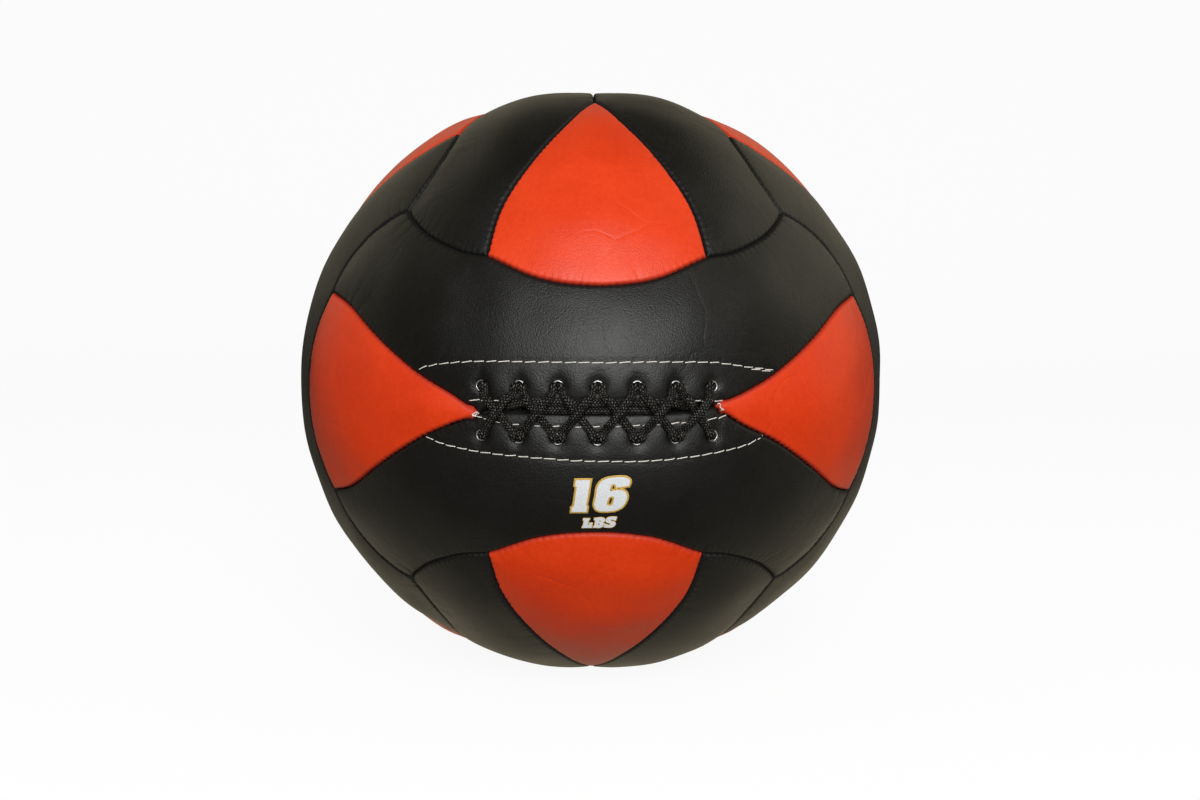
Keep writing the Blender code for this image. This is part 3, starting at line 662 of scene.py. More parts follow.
lace = {
    "free": (0.0022, 0.0015),       # half sizes where it lies free, across and through
    "bore": (0.00098, 0.0017),      # where two strands share an eyelet
    "mouth": (0.0022, 0.0019),      # where they come out of it
    "end": (0.00205, 0.00205),      # alone in an end eyelet
    "endMouth": (0.0025, 0.0020),
    "inner": (0.0013, 0.0013),
    "lane": 0.00104, "mouthLane": 0.0007, "mouthHeight": 0.0023, "boreHeight": 0.0004,
    "far": {1: 0.0002, -1: -0.0001}, "spread": 0.0011,  # off the eyelet's middle, up and aside
    "endFar": {1: 0.0011, -1: 0.0}, "endSpread": 0.0014,
    "lying": 0.0027, "shoulder": 0.0046, "turn": 0.0032, "exit": 0.00087, "slack": 0.0019,
    "riseShares": [0.27, 0.5, 0.73],
    "under": [0.0064, 0.0045, 0.0039],
    "over": [0.0074, 0.0079, 0.0056],
    "lowerLying": (9.4, 0.0015, 0.0013),  # a tail's places: degrees right, metres up, metres out of the seams
    "lowerEnd": [(11.0, 0.0017, -0.0007), (12.1, 0.0020, -0.004), (12.6, 0.0021, -0.0074)],
    "upperLying": (10.3, 0.0053, 0.0029),
    "upperEnd": [(12.6, 0.0046, 0.0023), (14.6, 0.0031, 0.0007), (15.9, 0.0025, -0.0016),
                 (16.9, 0.0023, -0.0045), (17.5, 0.0024, -0.0074)],
    "firstBar": 0.0016, "secondBar": 0.00467,
    "tailStops": 8, "tailTurn": 0.4,   # along a tail, and how far its flat side faces out where it dives
    "fine": 30, "step": 0.00044, "sides": 32,   # points from stop to stop, metres from ring to ring
    "smoothing": 5, "steer": 0.25,     # rings it is smoothed over, and how fast its flat side turns
}
braid = {
    "carriers": 10, "plait": 0.00165, "relief": 0.00014, "level": 0.7,
    "rounding": 2.4, "crown": 1.6, "thin": 3.0, "tall": 1.3, "highlightSpot": (1.0, 0.35),
    "fibre": 3500.0, "fibreShare": 0.25,
    "patch": 520.0, "patchTurn": (0.38, 0.62), "patchShares": (0.25, 1.0),
    # the "high" colour is a painted highlight on the yarn crowns, over the dark "low" colour of the lace
    "low": (0.0015, 0.0014, 0.0012), "high": (0.115, 0.110, 0.097), "bump": 0.00018,
}


def makeBraid():  # two sets of yarns, two over and two under, on the lace's own map, with a painted highlight on the crown of each yarn
    made, tree, shader = newMaterial("laceBraid", 0.45, specular=0.10)
    do = partial(maths, tree)
    split = node(tree, "SeparateXYZ", {0: node(tree, "UVMap", uv_map="along").outputs[0]}).outputs
    around = do("MULTIPLY", split[0], float(braid["carriers"]))
    left, right = do("ADD", around, split[1]), do("SUBTRACT", around, split[1])
    floors = do("FLOOR", left), do("FLOOR", right)
    onTop = do("LESS_THAN", do("FLOORED_MODULO", do("ADD", *floors), 4.0), 1.5)

    def onCrown(across, run, centre):  # how far from the middle of where a yarn lies on top
        return do("SUBTRACT", do("FLOORED_MODULO", do("ADD", across, run), 4.0), centre)

    def picked(ifLeft, ifRight):
        return node(tree, "Mix", {"Factor": onTop, 2: ifRight, 3: ifLeft}, data_type="FLOAT").outputs[0]

    wide = do("SUBTRACT", do("FRACT", picked(left, right)), 0.5)
    long = picked(onCrown(floors[0], right, 1.0), onCrown(floors[1], left, 3.0))
    edge = do("POWER", do("ABSOLUTE", do("MULTIPLY", wide, 2.0)), braid["rounding"])
    crown = do("SUBTRACT", braid["crown"], do("ADD", edge, do("ABSOLUTE", long)))
    spot = objectSpot(tree)
    height = do("MULTIPLY_ADD", noise(tree, spot, braid["fibre"], 2.0), braid["fibreShare"], crown)
    # painted highlight: a light oval in the middle of each crown, dimmer in random patches
    thin, tall = do("MULTIPLY", wide, braid["thin"]), do("MULTIPLY", long, braid["tall"])
    highlightOval = do("ADD", do("MULTIPLY", thin, thin), do("MULTIPLY", tall, tall))
    uneven = ranged(tree, noise(tree, spot, braid["patch"], 1.0), *braid["patchTurn"], *braid["patchShares"])
    share = product(tree, ranged(tree, highlightOval, *braid["highlightSpot"]), uneven)
    coloured(tree, shader, share, braid["low"], braid["high"])
    bumped(tree, shader, height, braid["bump"])
    return made


grainGroup = makeGrain()
materials = {f"{name}Leather": leather(name) for name in leathers}
materials.update({name: finish(name) for name in finishes})
materials.update({"canvas": makeCanvas(), "laceBraid": makeBraid()})
print("materials ready")

# the mouth: eyelets, facings and the shape of the lips round them
mouth = {
    "width": 0.0049, "rise": 0.0023,
    "count": 7, "pitch": 0.020, "rowHeight": 0.0126, "rowBow": 0.0009,
    "bore": 0.0044, "wall": 0.00035, "flange": 0.00042, "fit": 0.0002, "collarRadius": 0.1679,
    "dome": 0.00052, "domeFoot": 0.0002, "collar": 0.0003, "underside": (0.00012, 0.00008),  # of an eyelet
    "seatRing": 0.0033, "sunk": 0.0005,   # how far round an eyelet the leather is felt, how deep it sits
    "punch": 0.024,                       # how long the tool is that cuts the holes
    "dimple": 0.0011, "dimpleReach": 0.0042,
    "pull": 0.00085, "pullWide": 0.0014, "pullStart": 0.004, "pullReach": 0.0055,  # creases off the eyelets
    "puff": (0.00055, 0.0009), "puffReach": 0.0075,   # between the eyelets, of the lower and the upper lip
    "rollOver": 0.0011, "rollReach": 0.0042, "rollWide": 0.058,  # the lower edge turns over into the slit
    "bites": {"outer": (0.00042, 0.0011), "inner": (0.00022, 0.0007)},  # of the stitch rows, deep and wide
}
outerRow = {
    "upper": [(-31.6, 6.2), (-29.3, 6.9), (-24.9, 7.6), (-19.4, 8.0), (-12.6, 8.1), (0.3, 8.1), (8.4, 8.2),
              (15.1, 8.1), (20.4, 7.9), (25.1, 7.2), (31.6, 6.3)],
    "lower": [(-30.4, -5.0), (-26.7, -5.9), (-22.1, -6.6), (-17.7, -7.0), (-12.6, -7.2), (-6.0, -7.6),
              (0.4, -7.8), (8.6, -7.8), (15.3, -7.4), (20.6, -6.7), (25.3, -6.0), (30.1, -4.6)],
}
innerRow = {
    "upper": [(-21.6, 1.6), (-17.5, 1.75), (-10.0, 2.0), (0.0, 2.1), (10.0, 2.0), (17.5, 1.75), (21.6, 1.6)],
    "lower": [(-21.2, -0.9), (-19.4, -1.15), (-16.3, -1.8), (-13.6, -2.1), (0.0, -2.2), (10.4, -1.9),
              (14.2, -1.7), (19.8, -1.2), (22.4, -0.9)],
}
rowLines = {key: {side: smoothLine([aim(*a) for a in spots], 500) for side, spots in rows.items()}
            for key, rows in (("outer", outerRow), ("inner", innerRow))}


def overBall(length):
    return math.degrees(length / ballRadius)


def eyeletPlaces(upper):
    places = []
    for i in range(mouth["count"]):
        right = (i - (mouth["count"] - 1) / 2) * overBall(mouth["pitch"])
        bow = mouth["rowBow"] * (1 - (right / seamAngles["tip"][0]) ** 2)
        up = overBall(mouth["rowHeight"] + bow)
        places.append(aim(right, up if upper else -up))
    return places


def lipShape(upper):
    pull = mouth["pull"] if upper else 0.4 * mouth["pull"]

    def shape(rows):
        rows = rows if upper else rows * toBottom
        height = np.zeros(len(rows))
        x, z = rows[:, 0] * seamRadius, rows[:, 2] * seamRadius * (1 if upper else -1)
        for place in eyeletPlaces(True):
            dx, dz = x - place[0] * seamRadius, z - place[2] * seamRadius
            height -= mouth["dimple"] / (1 + ((dx**2 + dz**2) / mouth["dimpleReach"] ** 2) ** 3)
            line = np.exp(-((dx / mouth["pullWide"]) ** 2)) * np.clip(dz / mouth["pullStart"], 0, 1)
            height -= pull * line * np.exp(-np.clip(dz, 0, 1) / mouth["pullReach"])
        puffs = np.sin(math.pi * x / mouth["pitch"]) ** 2 * (np.abs(x) < 3 * mouth["pitch"])
        puffs *= np.exp(-(((z - mouth["rowHeight"]) / mouth["puffReach"]) ** 2))
        height += mouth["puff"][upper] * puffs
        if not upper:
            inside = np.clip(1 - (x / mouth["rollWide"]) ** 2, 0, 1)
            height -= mouth["rollOver"] * np.exp(-np.clip(z, 0, 1) / mouth["rollReach"]) * inside
        for key, (depth, wide) in mouth["bites"].items():
            line = rowLines[key]["upper" if upper else "lower"]
            away, along, _ = measured(line, rows, np.array([0, -1.0, 0.3]))
            ends = 0.5 + 0.5 * np.cos(2 * math.pi * along / stitches["pitch"])
            height -= depth * np.exp(-((away / wide) ** 2)) * (0.6 + 0.6 * ends)
        return height * (rows[:, 1] < 0)
    return shape


stitches = {
    "backTack": [(26.6, 6.75), (28.6, 6.45), (31.0, 6.12)],
    "pitch": 0.0066, "length": 0.0060, "lengthShares": (0.93, 1.05),
    "thick": 0.00024, "flatShare": 1.12, "stand": 0.00024, "dip": 0.0006,
    "slant": 4.0, "sway": 2.0, "bow": 0.00012, "twist": 0.0013, "steps": 13,
}

upperLip = bandKind("upperLip", mouth["rise"] + mouth["width"] / 2)
lowerLip = bandKind("lowerLip", mouth["width"] / 2 - mouth["rise"])
band = bandKind("band", 0)
triangle = triangleKind("triangle")
print("panel shapes ready:", len(band["rows"]), "and", len(triangle["rows"]), "points")

covers = {}
seed = 11
for halfTurn in (False, True):
    for thirdTurns in range(3):
        turns = (thirdTurns, halfTurn)
        face = sideName(turnedTo(np.array([0, -1.0, 0]), *turns))
        for upper in (True, False):
            kind, extra = band, None
            if face == "front":
                kind, extra = (upperLip if upper else lowerLip), lipShape(upper)
            mirror = None if upper else toBottom
            piece = addPanel(kind, face, np.array([0, 0, 1.0]), "black", turns, mirror, seed, extra)
            covers[piece.name] = piece
            seed += 10
        for mirror in (None, toLeft):
            piece = addPanel(triangle, face, np.array([1.0, 0, 0]), "red", turns, mirror, seed)
            covers[piece.name] = piece
            seed += 10
print("covers sewn:", len(covers))


# holes and eyelets
def surfaceOf(*pieces):
    bm = bmesh.new()
    for piece in pieces:
        bm.from_mesh(piece.data)
    tree = BVHTree.FromBMesh(bm)
    bm.free()
    return tree


def onto(tree, place):
    point, normal, *_ = tree.ray_cast(Vector(middle + place * ball["across"]), Vector(-place))
    if point is None:  # it fell in a seam
        return place * (seamRadius - ball["drop"]), place
    return np.array(point) - middle, np.array(normal)


def seatsOf(lip, upper):
    tree = surfaceOf(lip)
    seats = []
    for place in eyeletPlaces(upper):
        ring = ringRound(place, 12) * mouth["seatRing"] / seamRadius
        found = [onto(tree, unit(place + turn)) for turn in ring]
        height = np.mean([np.linalg.norm(point) for point, _ in found]) - mouth["sunk"]
        axis = unit(np.mean([normal for _, normal in found], axis=0) + place)
        seats.append((place * height, axis))
    return seats


def ringRound(axis, count):
    across = unit(np.cross([0, 0, 1.0], axis))
    upward = np.cross(axis, across)
    turns = np.arange(count) * 2 * math.pi / count
    return np.cos(turns)[:, None] * across + np.sin(turns)[:, None] * upward


def turnedOnto(point, axis):
    turn = Vector(axis).to_track_quat("Z", "Y").to_matrix().to_4x4()
    return Matrix.Translation(Vector(middle + point)) @ turn


def pierce(piece, seats):
    bm = bmesh.new()
    radius = mouth["bore"] / 2 + mouth["wall"] + mouth["fit"]
    for point, axis in seats:
        bmesh.ops.create_cone(bm, cap_ends=True, segments=48, radius1=radius, radius2=radius,
                              depth=mouth["punch"], matrix=turnedOnto(point, axis))
    punch = newObject("punch", meshFrom(bm, "punch", smooth=False))
    cut = piece.modifiers.new("holes", "BOOLEAN")
    cut.operation, cut.solver, cut.object = "DIFFERENCE", "EXACT", punch
    graph = bpy.context.evaluated_depsgraph_get()
    whole, tool = piece.data, punch.data
    piece.data = bpy.data.meshes.new_from_object(piece.evaluated_get(graph), depsgraph=graph)
    piece.modifiers.clear()
    piece.data.name = piece.name
    bpy.data.objects.remove(punch)
    for mesh in (whole, tool):
        bpy.data.meshes.remove(mesh)


def arc(centre, radii, start, stop, steps):
    turns = np.radians(np.linspace(start, stop, steps))
    return [(centre[0] + radii[0] * math.cos(t), centre[1] + radii[1] * math.sin(t)) for t in turns]


def makeEyelet(name, seat, replaced):
    point, axis = seat
    bore = mouth["bore"] / 2
    barrel = bore + mouth["wall"]
    half = (mouth["wall"] + mouth["flange"]) / 2
    inset, under = mouth["underside"]
    collar = mouth["collarRadius"] - np.linalg.norm(point)
    profile = arc((bore + half, mouth["domeFoot"]), (half, mouth["dome"]), 180, 0, 13)  # rolled over in front
    profile += [(bore + 2 * half - inset, under), (barrel, under), (barrel, collar + mouth["collar"]),
                (bore + 2 * half - inset, collar + mouth["collar"])]
    profile += arc((bore + half, collar), (half, mouth["collar"]), 0, -180, 9)
    bm = bmesh.new()
    verts = [bm.verts.new((radius, 0, height)) for radius, height in profile]
    edges = [bm.edges.new((verts[i - 1], verts[i])) for i in range(len(verts))]
    bmesh.ops.spin(bm, geom=verts + edges, axis=(0, 0, 1), cent=(0, 0, 0), steps=48, angle=2 * math.pi,
                   use_merge=True, use_duplicate=False)
    bmesh.ops.recalc_face_normals(bm, faces=bm.faces[:])
    bmesh.ops.transform(bm, matrix=turnedOnto(point, axis), verts=bm.verts[:])
    addPiece(name, meshFrom(bm, name), "nickel", [replaced])


def addSheet(name, sides, size, cells, replaced, swell=None):
    mesh = meshFrom(slab(*cells), name)
    across, up, outer = flatPlaces(mesh)
    places = spread(sides, across, up)
    out = size["radius"] - np.where(outer, 0, size["thick"]) + (0 if swell is None else swell(places))
    setPlaces(mesh, places * out[:, None] + middle)
    faceOut(mesh)
    return addPiece(name, mesh, "facingLeather", [replaced])


facing = {"height": 0.026, "thick": 0.0016, "radius": 0.17125}
tongue = {"wide": 0.150, "high": 0.040, "thick": 0.0018, "radius": 0.16163, "ripple": 0.00035,
          "rippleSizes": (0.02, 0.05)}


def between(start, end):
    share = np.linspace(0, 1, 12)[:, None]
    return unit(start * (1 - share) + end * share)


def makeFacing(row, upper, seats):
    rise = mouth["width"] / 2 + (1 if upper else -1) * mouth["rise"]
    low = sideLine[sideLine[:, 2] * ballRadius < facing["height"] / 2]
    lower = np.vstack([low[:0:-1] * toLeft, lipLine(rise), low[1:]])
    share = (facing["height"] / ballRadius - lower[:, 2]) / (1 - lower[:, 2])
    outer = unit(lower + np.outer(share, [0, 0, 1]))
    ends = [between(lower[i], outer[i]) for i in (0, -1)]
    sides = (evenly(lower, 300), evenly(outer, 300), *ends)
    if not upper:
        sides = tuple(side * toBottom for side in sides)
    pierce(addSheet(f"facing_strip_{row}", sides, facing, (90, 12), f"facing_{row}"), seats)


def makeTongue():
    def ripple(rows):
        return -tongue["ripple"] * (1 + broadWaves(rows, 3, tongue["rippleSizes"]))

    across, up = (math.degrees(size / 2 / tongue["radius"]) for size in (tongue["wide"], tongue["high"]))
    steps = np.linspace(-across, across, 60)
    rows = [aim(steps, 0 * steps + height).T for height in (-up, up)]
    sides = (*rows, between(rows[0][0], rows[1][0]), between(rows[0][-1], rows[1][-1]))
    addSheet("tongue_flap", sides, tongue, (96, 28), "tongue", ripple)


seats = {}
for row in ("upper", "lower"):
    side = "top" if row == "upper" else "bottom"
    lip = covers[f"cover_front_{side}_black"]
    seats[row] = seatsOf(lip, row == "upper")
    pierce(lip, seats[row])
    makeFacing(row, row == "upper", seats[row])
    for i, seat in enumerate(seats[row]):
        makeEyelet(f"eyelet_ring_{row}_{i + 1}", seat, f"eyelet_{row}_{i + 1}")
makeTongue()
lips = surfaceOf(*(covers[f"cover_front_{name}"] for name in ("top_black", "bottom_black", "left_red",
                                                              "right_red")))
print("lips pierced and eyelets set")


# tubes: the lace, the stitches and the knots are all swept from one kind
def tubeKind(rings, sides):
    bm = bmesh.new()
    bm.loops.layers.uv.new("along")
    bmesh.ops.create_grid(bm, x_segments=rings, y_segments=sides, size=0.5, calc_uvs=True)
    for vert in bm.verts:
        turn = (vert.co.y + 0.5) * 2 * math.pi
        vert.co = (vert.co.x, math.cos(turn), math.sin(turn))
    bmesh.ops.remove_doubles(bm, verts=bm.verts[:], dist=1e-6)
    bmesh.ops.holes_fill(bm, edges=[e for e in bm.edges if e.is_boundary], sides=0)
    bmesh.ops.recalc_face_normals(bm, faces=bm.faces[:])
    mesh = meshFrom(bm, "tube")
    flat = placesOf(mesh)
    ring = np.rint((flat[:, 0] + 0.5) * rings).astype(int)
    return {"mesh": mesh, "ring": ring, "flat": flat}


def swept(kind, path, upward, wide, thick, relief=0):
    run = unit(np.gradient(path, axis=0))
    upward = unit(upward - (upward * run).sum(1, keepdims=True) * run)
    side = np.cross(upward, run)
    ring, flat = kind["ring"], kind["flat"]
    a = (np.broadcast_to(wide, len(path))[ring] + relief) * flat[:, 1]
    b = (np.broadcast_to(thick, len(path))[ring] + relief) * flat[:, 2]
    return path[ring] + side[ring] * a[:, None] + upward[ring] * b[:, None]


def addSwept(name, kind, placed, material, repeats, nodes=()):
    bm = bmesh.new()
    for places in placed:
        setPlaces(kind["mesh"], places + middle)
        bm.from_mesh(kind["mesh"])
    uv = bm.loops.layers.uv["along"]
    for face in bm.faces:
        for loop in face.loops:
            loop[uv].uv = (loop[uv].uv.y, loop[uv].uv.x * repeats)
    addPiece(name, meshFrom(bm, name), material, nodes)


# lace
def inBore(seat, lane, height, aside=lace["lane"]):
    point, axis = seat
    across = unit(np.cross([0, 0, 1.0], axis))
    return point + axis * height + across * lane * aside


def stop(place, hint, size):
    return np.concatenate([place, hint, size])


def boreSize(lane):
    return lace["bore" if lane else "end"]


def atMouth(seat, lane, away, way):  # just out of the eyelet, pulled over the way it goes
    size = lace["mouth" if lane else "endMouth"]
    aside, far = (lace["spread"], lace["far"]) if lane else (lace["endSpread"], lace["endFar"])
    moved = np.array([math.copysign(aside, way[0]), 0, away * far[away]])
    place = inBore(seat, lane, lace["mouthHeight"], lace["mouthLane"]) + moved
    return stop(place, seat[1] + [0, 0, away], size)


def passOutside(start, startLane, end, endLane, rises):
    way = unit(end[0] - start[0])
    upright = np.array([0, 0, 1.0])
    route = [stop(inBore(start, startLane, lace["boreHeight"]), upright, boreSize(startLane)),
             atMouth(start, startLane, 1, way),
             stop(start[0] + start[1] * lace["lying"] + way * lace["shoulder"], unit(start[0]), lace["free"])]
    for share, rise in zip(lace["riseShares"], rises):
        place = unit(start[0] * (1 - share) + end[0] * share)
        route.append(stop(place * (seamRadius + rise), place, lace["free"]))
    route.append(stop(end[0] + end[1] * lace["lying"] - way * lace["shoulder"], unit(end[0]), lace["free"]))
    route.append(atMouth(end, endLane, -1, -way))
    route.append(stop(inBore(end, endLane, lace["boreHeight"]), -upright, boreSize(endLane)))
    return route


def behind(seat, lane):
    return inBore(seat, lane, mouth["collarRadius"] - np.linalg.norm(seat[0]) - lace["exit"])


def passInside(start, startLane, end, endLane, radius):
    turn = unit(end[0] - start[0]) * lace["turn"]
    upright = np.array([0, 0, 1.0])
    route = [stop(behind(start, startLane), -upright, boreSize(startLane))]
    for seat, lane, step in ((start, startLane, turn), (end, endLane, -turn)):
        place = unit(behind(seat, lane) + step)
        route.append(stop(place * radius, -place, lace["inner"]))
    route.append(stop(behind(end, endLane), upright, boreSize(endLane)))
    return route


def tailRoute(lying, end, seat, upright):
    outer = list(end[::-1])
    right, up, out = lying
    outer += [(right * share, up, out) for share in np.linspace(1, -1, lace["tailStops"])]
    outer += [(-right, up, out) for right, up, out in end]
    route = []
    for i, (right, up, out) in enumerate(outer):
        place = aim(right, overBall(up))
        radius = seamRadius + out
        size = lace["inner" if radius + lace["slack"] < mouth["collarRadius"] else "free"]
        hint = place if out > 0 else unit(lace["tailTurn"] * place + np.array([np.sign(right), 0, 0]))
        route.append(stop(place * radius, hint, size))
    turn = unit(route[-1][:3] - behind(seat, 0)) * lace["turn"]
    place = unit(behind(seat, 0) + turn)
    route.append(stop(place * (mouth["collarRadius"] - lace["firstBar"]), -place, lace["inner"]))
    route.append(stop(behind(seat, 0), upright, boreSize(0)))
    return route


def threaded(uppers, lowers):
    last = len(uppers) - 1
    upright = np.array([0, 0, 1.0])
    first, second = (mouth["collarRadius"] - lace[bar] for bar in ("firstBar", "secondBar"))
    route = tailRoute(lace["upperLying"], lace["upperEnd"], uppers[0], upright)
    for i in range(last):
        lane = 1 if i + 1 < last else 0
        route += passOutside(uppers[i], min(i, 1), lowers[i + 1], -lane, lace["under"])
        route += passInside(lowers[i + 1], -lane, uppers[i + 1], lane, first)
    for i in range(last, 0, -1):
        route += passOutside(uppers[i], 0 if i == last else -1, lowers[i - 1], min(i - 1, 1), lace["over"])
        if i > 1:
            route += passInside(lowers[i - 1], 1, uppers[i - 1], -1, second)
    return route + tailRoute(lace["lowerLying"], lace["lowerEnd"], lowers[0], -upright)[::-1]


def curved(route):  # a smooth way through the stops, then evenly spaced rings along it
    rows = np.array(route)
    rows = np.vstack([2 * rows[:1] - rows[1:2], rows, 2 * rows[-1:] - rows[-2:-1]])
    gaps = np.maximum(np.linalg.norm(np.diff(rows[:, :3], axis=0), axis=1), 1e-5) ** 0.5
    t = np.append(0, np.cumsum(gaps))
    dense = []
    for i in range(1, len(rows) - 2):
        a, b, c, d = rows[i - 1:i + 3]
        ta, tb, tc, td = t[i - 1:i + 3]
        x = np.linspace(tb, tc, lace["fine"], endpoint=False)[:, None]
        ab = (tb - x) / (tb - ta) * a + (x - ta) / (tb - ta) * b
        bc = (tc - x) / (tc - tb) * b + (x - tb) / (tc - tb) * c
        cd = (td - x) / (td - tc) * c + (x - tc) / (td - tc) * d
        abc = (tc - x) / (tc - ta) * ab + (x - ta) / (tc - ta) * bc
        bcd = (td - x) / (td - tb) * bc + (x - tb) / (td - tb) * cd
        dense.append((tc - x) / (tc - tb) * abc + (x - tb) / (tc - tb) * bcd)
    dense = np.vstack(dense + [rows[-2:-1]])
    reached = lengthsAlong(dense[:, :3])
    count = int(reached[-1] / lace["step"])
    even = readAt(dense, reached, np.linspace(0, reached[-1], count + 1))
    reach = lace["smoothing"]
    weights = np.exp(-(np.arange(-reach, reach + 1) ** 2) / reach)
    weights /= weights.sum()
    padded = np.vstack([even[:1]] * reach + [even] + [even[-1:]] * reach)
    return sum(w * padded[i:i + len(even)] for i, w in enumerate(weights)), reached[-1]


def steadied(run, hints):  # keeps the flat side from flipping where the lace turns in
    upward = np.empty_like(hints)
    last = hints[0]
    for i in range(len(hints)):
        last = last - (last @ run[i]) * run[i]
        last = last / max(np.linalg.norm(last), 1e-9)
        aimed = hints[i] - (hints[i] @ run[i]) * run[i]
        last = last + lace["steer"] * aimed
        last = last / np.linalg.norm(last)
        upward[i] = last
    return upward


def plaitHeight(turn, along):
    left, right = braid["carriers"] * turn + along, braid["carriers"] * turn - along
    onTop = np.mod(np.floor(left) + np.floor(right), 4) < 1.5
    height = []
    for across, run, centre in ((left, right, 1), (right, left, 3)):
        rounded = 1 - np.abs(2 * (across % 1) - 1) ** braid["rounding"]
        reach = 1 - np.abs(np.mod(np.floor(across) + run, 4) - centre)
        height.append(rounded * (0.5 + 0.5 * reach))
    return np.where(onTop, *height)


def makeLace(uppers, lowers):
    rows, length = curved(threaded(uppers, lowers))
    rings = len(rows) - 1
    repeats = length / braid["plait"]
    kind = tubeKind(rings, lace["sides"])
    run = unit(np.gradient(rows[:, :3], axis=0))
    upward = steadied(run, rows[:, 3:6])
    turn = np.arctan2(kind["flat"][:, 2], kind["flat"][:, 1]) / (2 * math.pi) % 1
    relief = braid["relief"] * (plaitHeight(turn, kind["ring"] / rings * repeats) - braid["level"])
    places = swept(kind, rows[:, :3], upward, rows[:, 6], rows[:, 7], relief)
    addSwept("lacing", kind, [places], "laceBraid", repeats, ["lace"])
    print(f"lace: {length:.3f} m in {rings} rings")


makeLace(seats["upper"], seats["lower"])


# stitching


def makeStitches():
    kind = tubeKind(stitches["steps"] - 1, 8)
    placed = []
    luck = np.random.RandomState(4)
    backTack = smoothLine([aim(*spot) for spot in stitches["backTack"]], 60)
    rows = [rowLines[key][side] for key in ("outer", "inner") for side in ("upper", "lower")] + [backTack]
    share = np.linspace(-1, 1, stitches["steps"])[:, None]
    for line in rows:
        reached = lengthsAlong(line, seamRadius)
        count = round(reached[-1] / stitches["pitch"])
        for k in range(count):
            length = stitches["length"] * luck.uniform(*stitches["lengthShares"])
            spots = (k + 0.5) * reached[-1] / count + length * share[:, 0] / 2
            found = [onto(lips, place) for place in unit(readAt(line, reached, spots))]
            normal = unit(np.mean([n for _, n in found], axis=0))
            points = np.array([p for p, _ in found])
            chord = (points[:1] * (1 - share) + points[-1:] * (1 + share)) / 2
            rise = stitches["stand"] * (1 - share**4) - stitches["dip"] * share**10
            across = np.cross(normal, unit(points[-1] - points[0]))
            slant = stitches["slant"] + luck.uniform(-stitches["sway"], stitches["sway"])
            lean = math.tan(math.radians(slant)) * length / 2
            bow = luck.uniform(-stitches["bow"], stitches["bow"]) * (1 - share**2)
            path = (points + chord) / 2 + normal * rise + across * (share * lean + bow)
            placed.append(swept(kind, path, np.repeat(normal[None], len(share), axis=0),
                                stitches["thick"] * stitches["flatShare"], stitches["thick"]))
    addSwept("topstitching", kind, placed, "creamThread", stitches["length"] / stitches["twist"])
    print("stitches:", len(placed))


knots = {
    "left": [(-19.95, -0.65), (-20.25, -0.45), (-20.6, -0.57), (-20.95, -0.77), (-20.55, -0.85),
             (-20.2, -0.63)],
    "right": [(20.35, 1.1), (20.75, 1.05), (20.75, 0.7), (21.05, 0.43), (21.35, 0.16), (20.95, 0.08)],
    "thick": 0.00030, "steps": 31, "twists": 7,
    "stand": 1.4, "wave": 0.8, "waves": 7, "dive": 3.2,   # how high it lies, in thicknesses, and its waves
}


def makeKnots():  # thread ends of the mouth's own rows, caught at the two tips
    kind = tubeKind(knots["steps"] - 1, 8)
    placed = []
    for side in ("left", "right"):
        line = smoothLine([aim(*spot) for spot in knots[side]], knots["steps"] - 1)
        found = [onto(lips, place) for place in line]
        points, normals = (np.array(part) for part in zip(*found))
        share = np.linspace(-1, 1, knots["steps"])[:, None]
        rise = knots["stand"] + knots["wave"] * np.sin(share * knots["waves"]) - knots["dive"] * share**8
        rise = knots["thick"] * rise
        placed.append(swept(kind, points + unit(normals) * rise, normals, knots["thick"], knots["thick"]))
    addSwept("thread_knots", kind, placed, "creamThread", knots["twists"])


seamThread = {"thick": 0.00016, "half": 0.00085, "height": -0.0005, "lean": 0.25, "dip": 0.0005,
              "clear": 0.002, "step": 0.0005}


def makeSeamThreads():  # the black thread that crosses the bottom of every seam
    kind = tubeKind(4, 5)
    placed = []
    share = np.linspace(-1, 1, 5)[:, None]
    quarters = [np.array([x, 1, z]) for x in (1, -1) for z in (1, -1)]
    halves = [np.array([1, 1, z]) for z in (1, -1)]
    for line, mirrors in ((sideLine, quarters), (edgeLine, quarters), (baseLine, halves)):
        reached = lengthsAlong(line, seamRadius)
        fine = np.linspace(0, reached[-1], 4000)
        phase = stitchPhase(fine)
        spots = np.interp(np.arange(math.ceil(phase[0]), math.floor(phase[-1]) + 1), phase, fine)
        clear = seamThread["clear"]
        for spot in spots[(spots > clear) & (spots < reached[-1] - clear)]:
            place, ahead = unit(readAt(line, reached, [spot, spot + seamThread["step"]]))
            run = unit(ahead - place)
            across = unit(np.cross(place, run) + seamThread["lean"] * run)
            path = place * (seamRadius + seamThread["height"]) + across * share * seamThread["half"]
            path = path - place * seamThread["dip"] * share**4
            bar = swept(kind, path, np.repeat(place[None], 5, axis=0), *[seamThread["thick"]] * 2)
            placed += [turnedTo(bar * mirror, turns, half) for mirror in mirrors
                       for turns in range(3) for half in (False, True)]
    addSwept("seam_thread", kind, placed, "blackThread", 1.0)
    print("seam stitches:", len(placed))


makeStitches()
makeKnots()
makeSeamThreads()

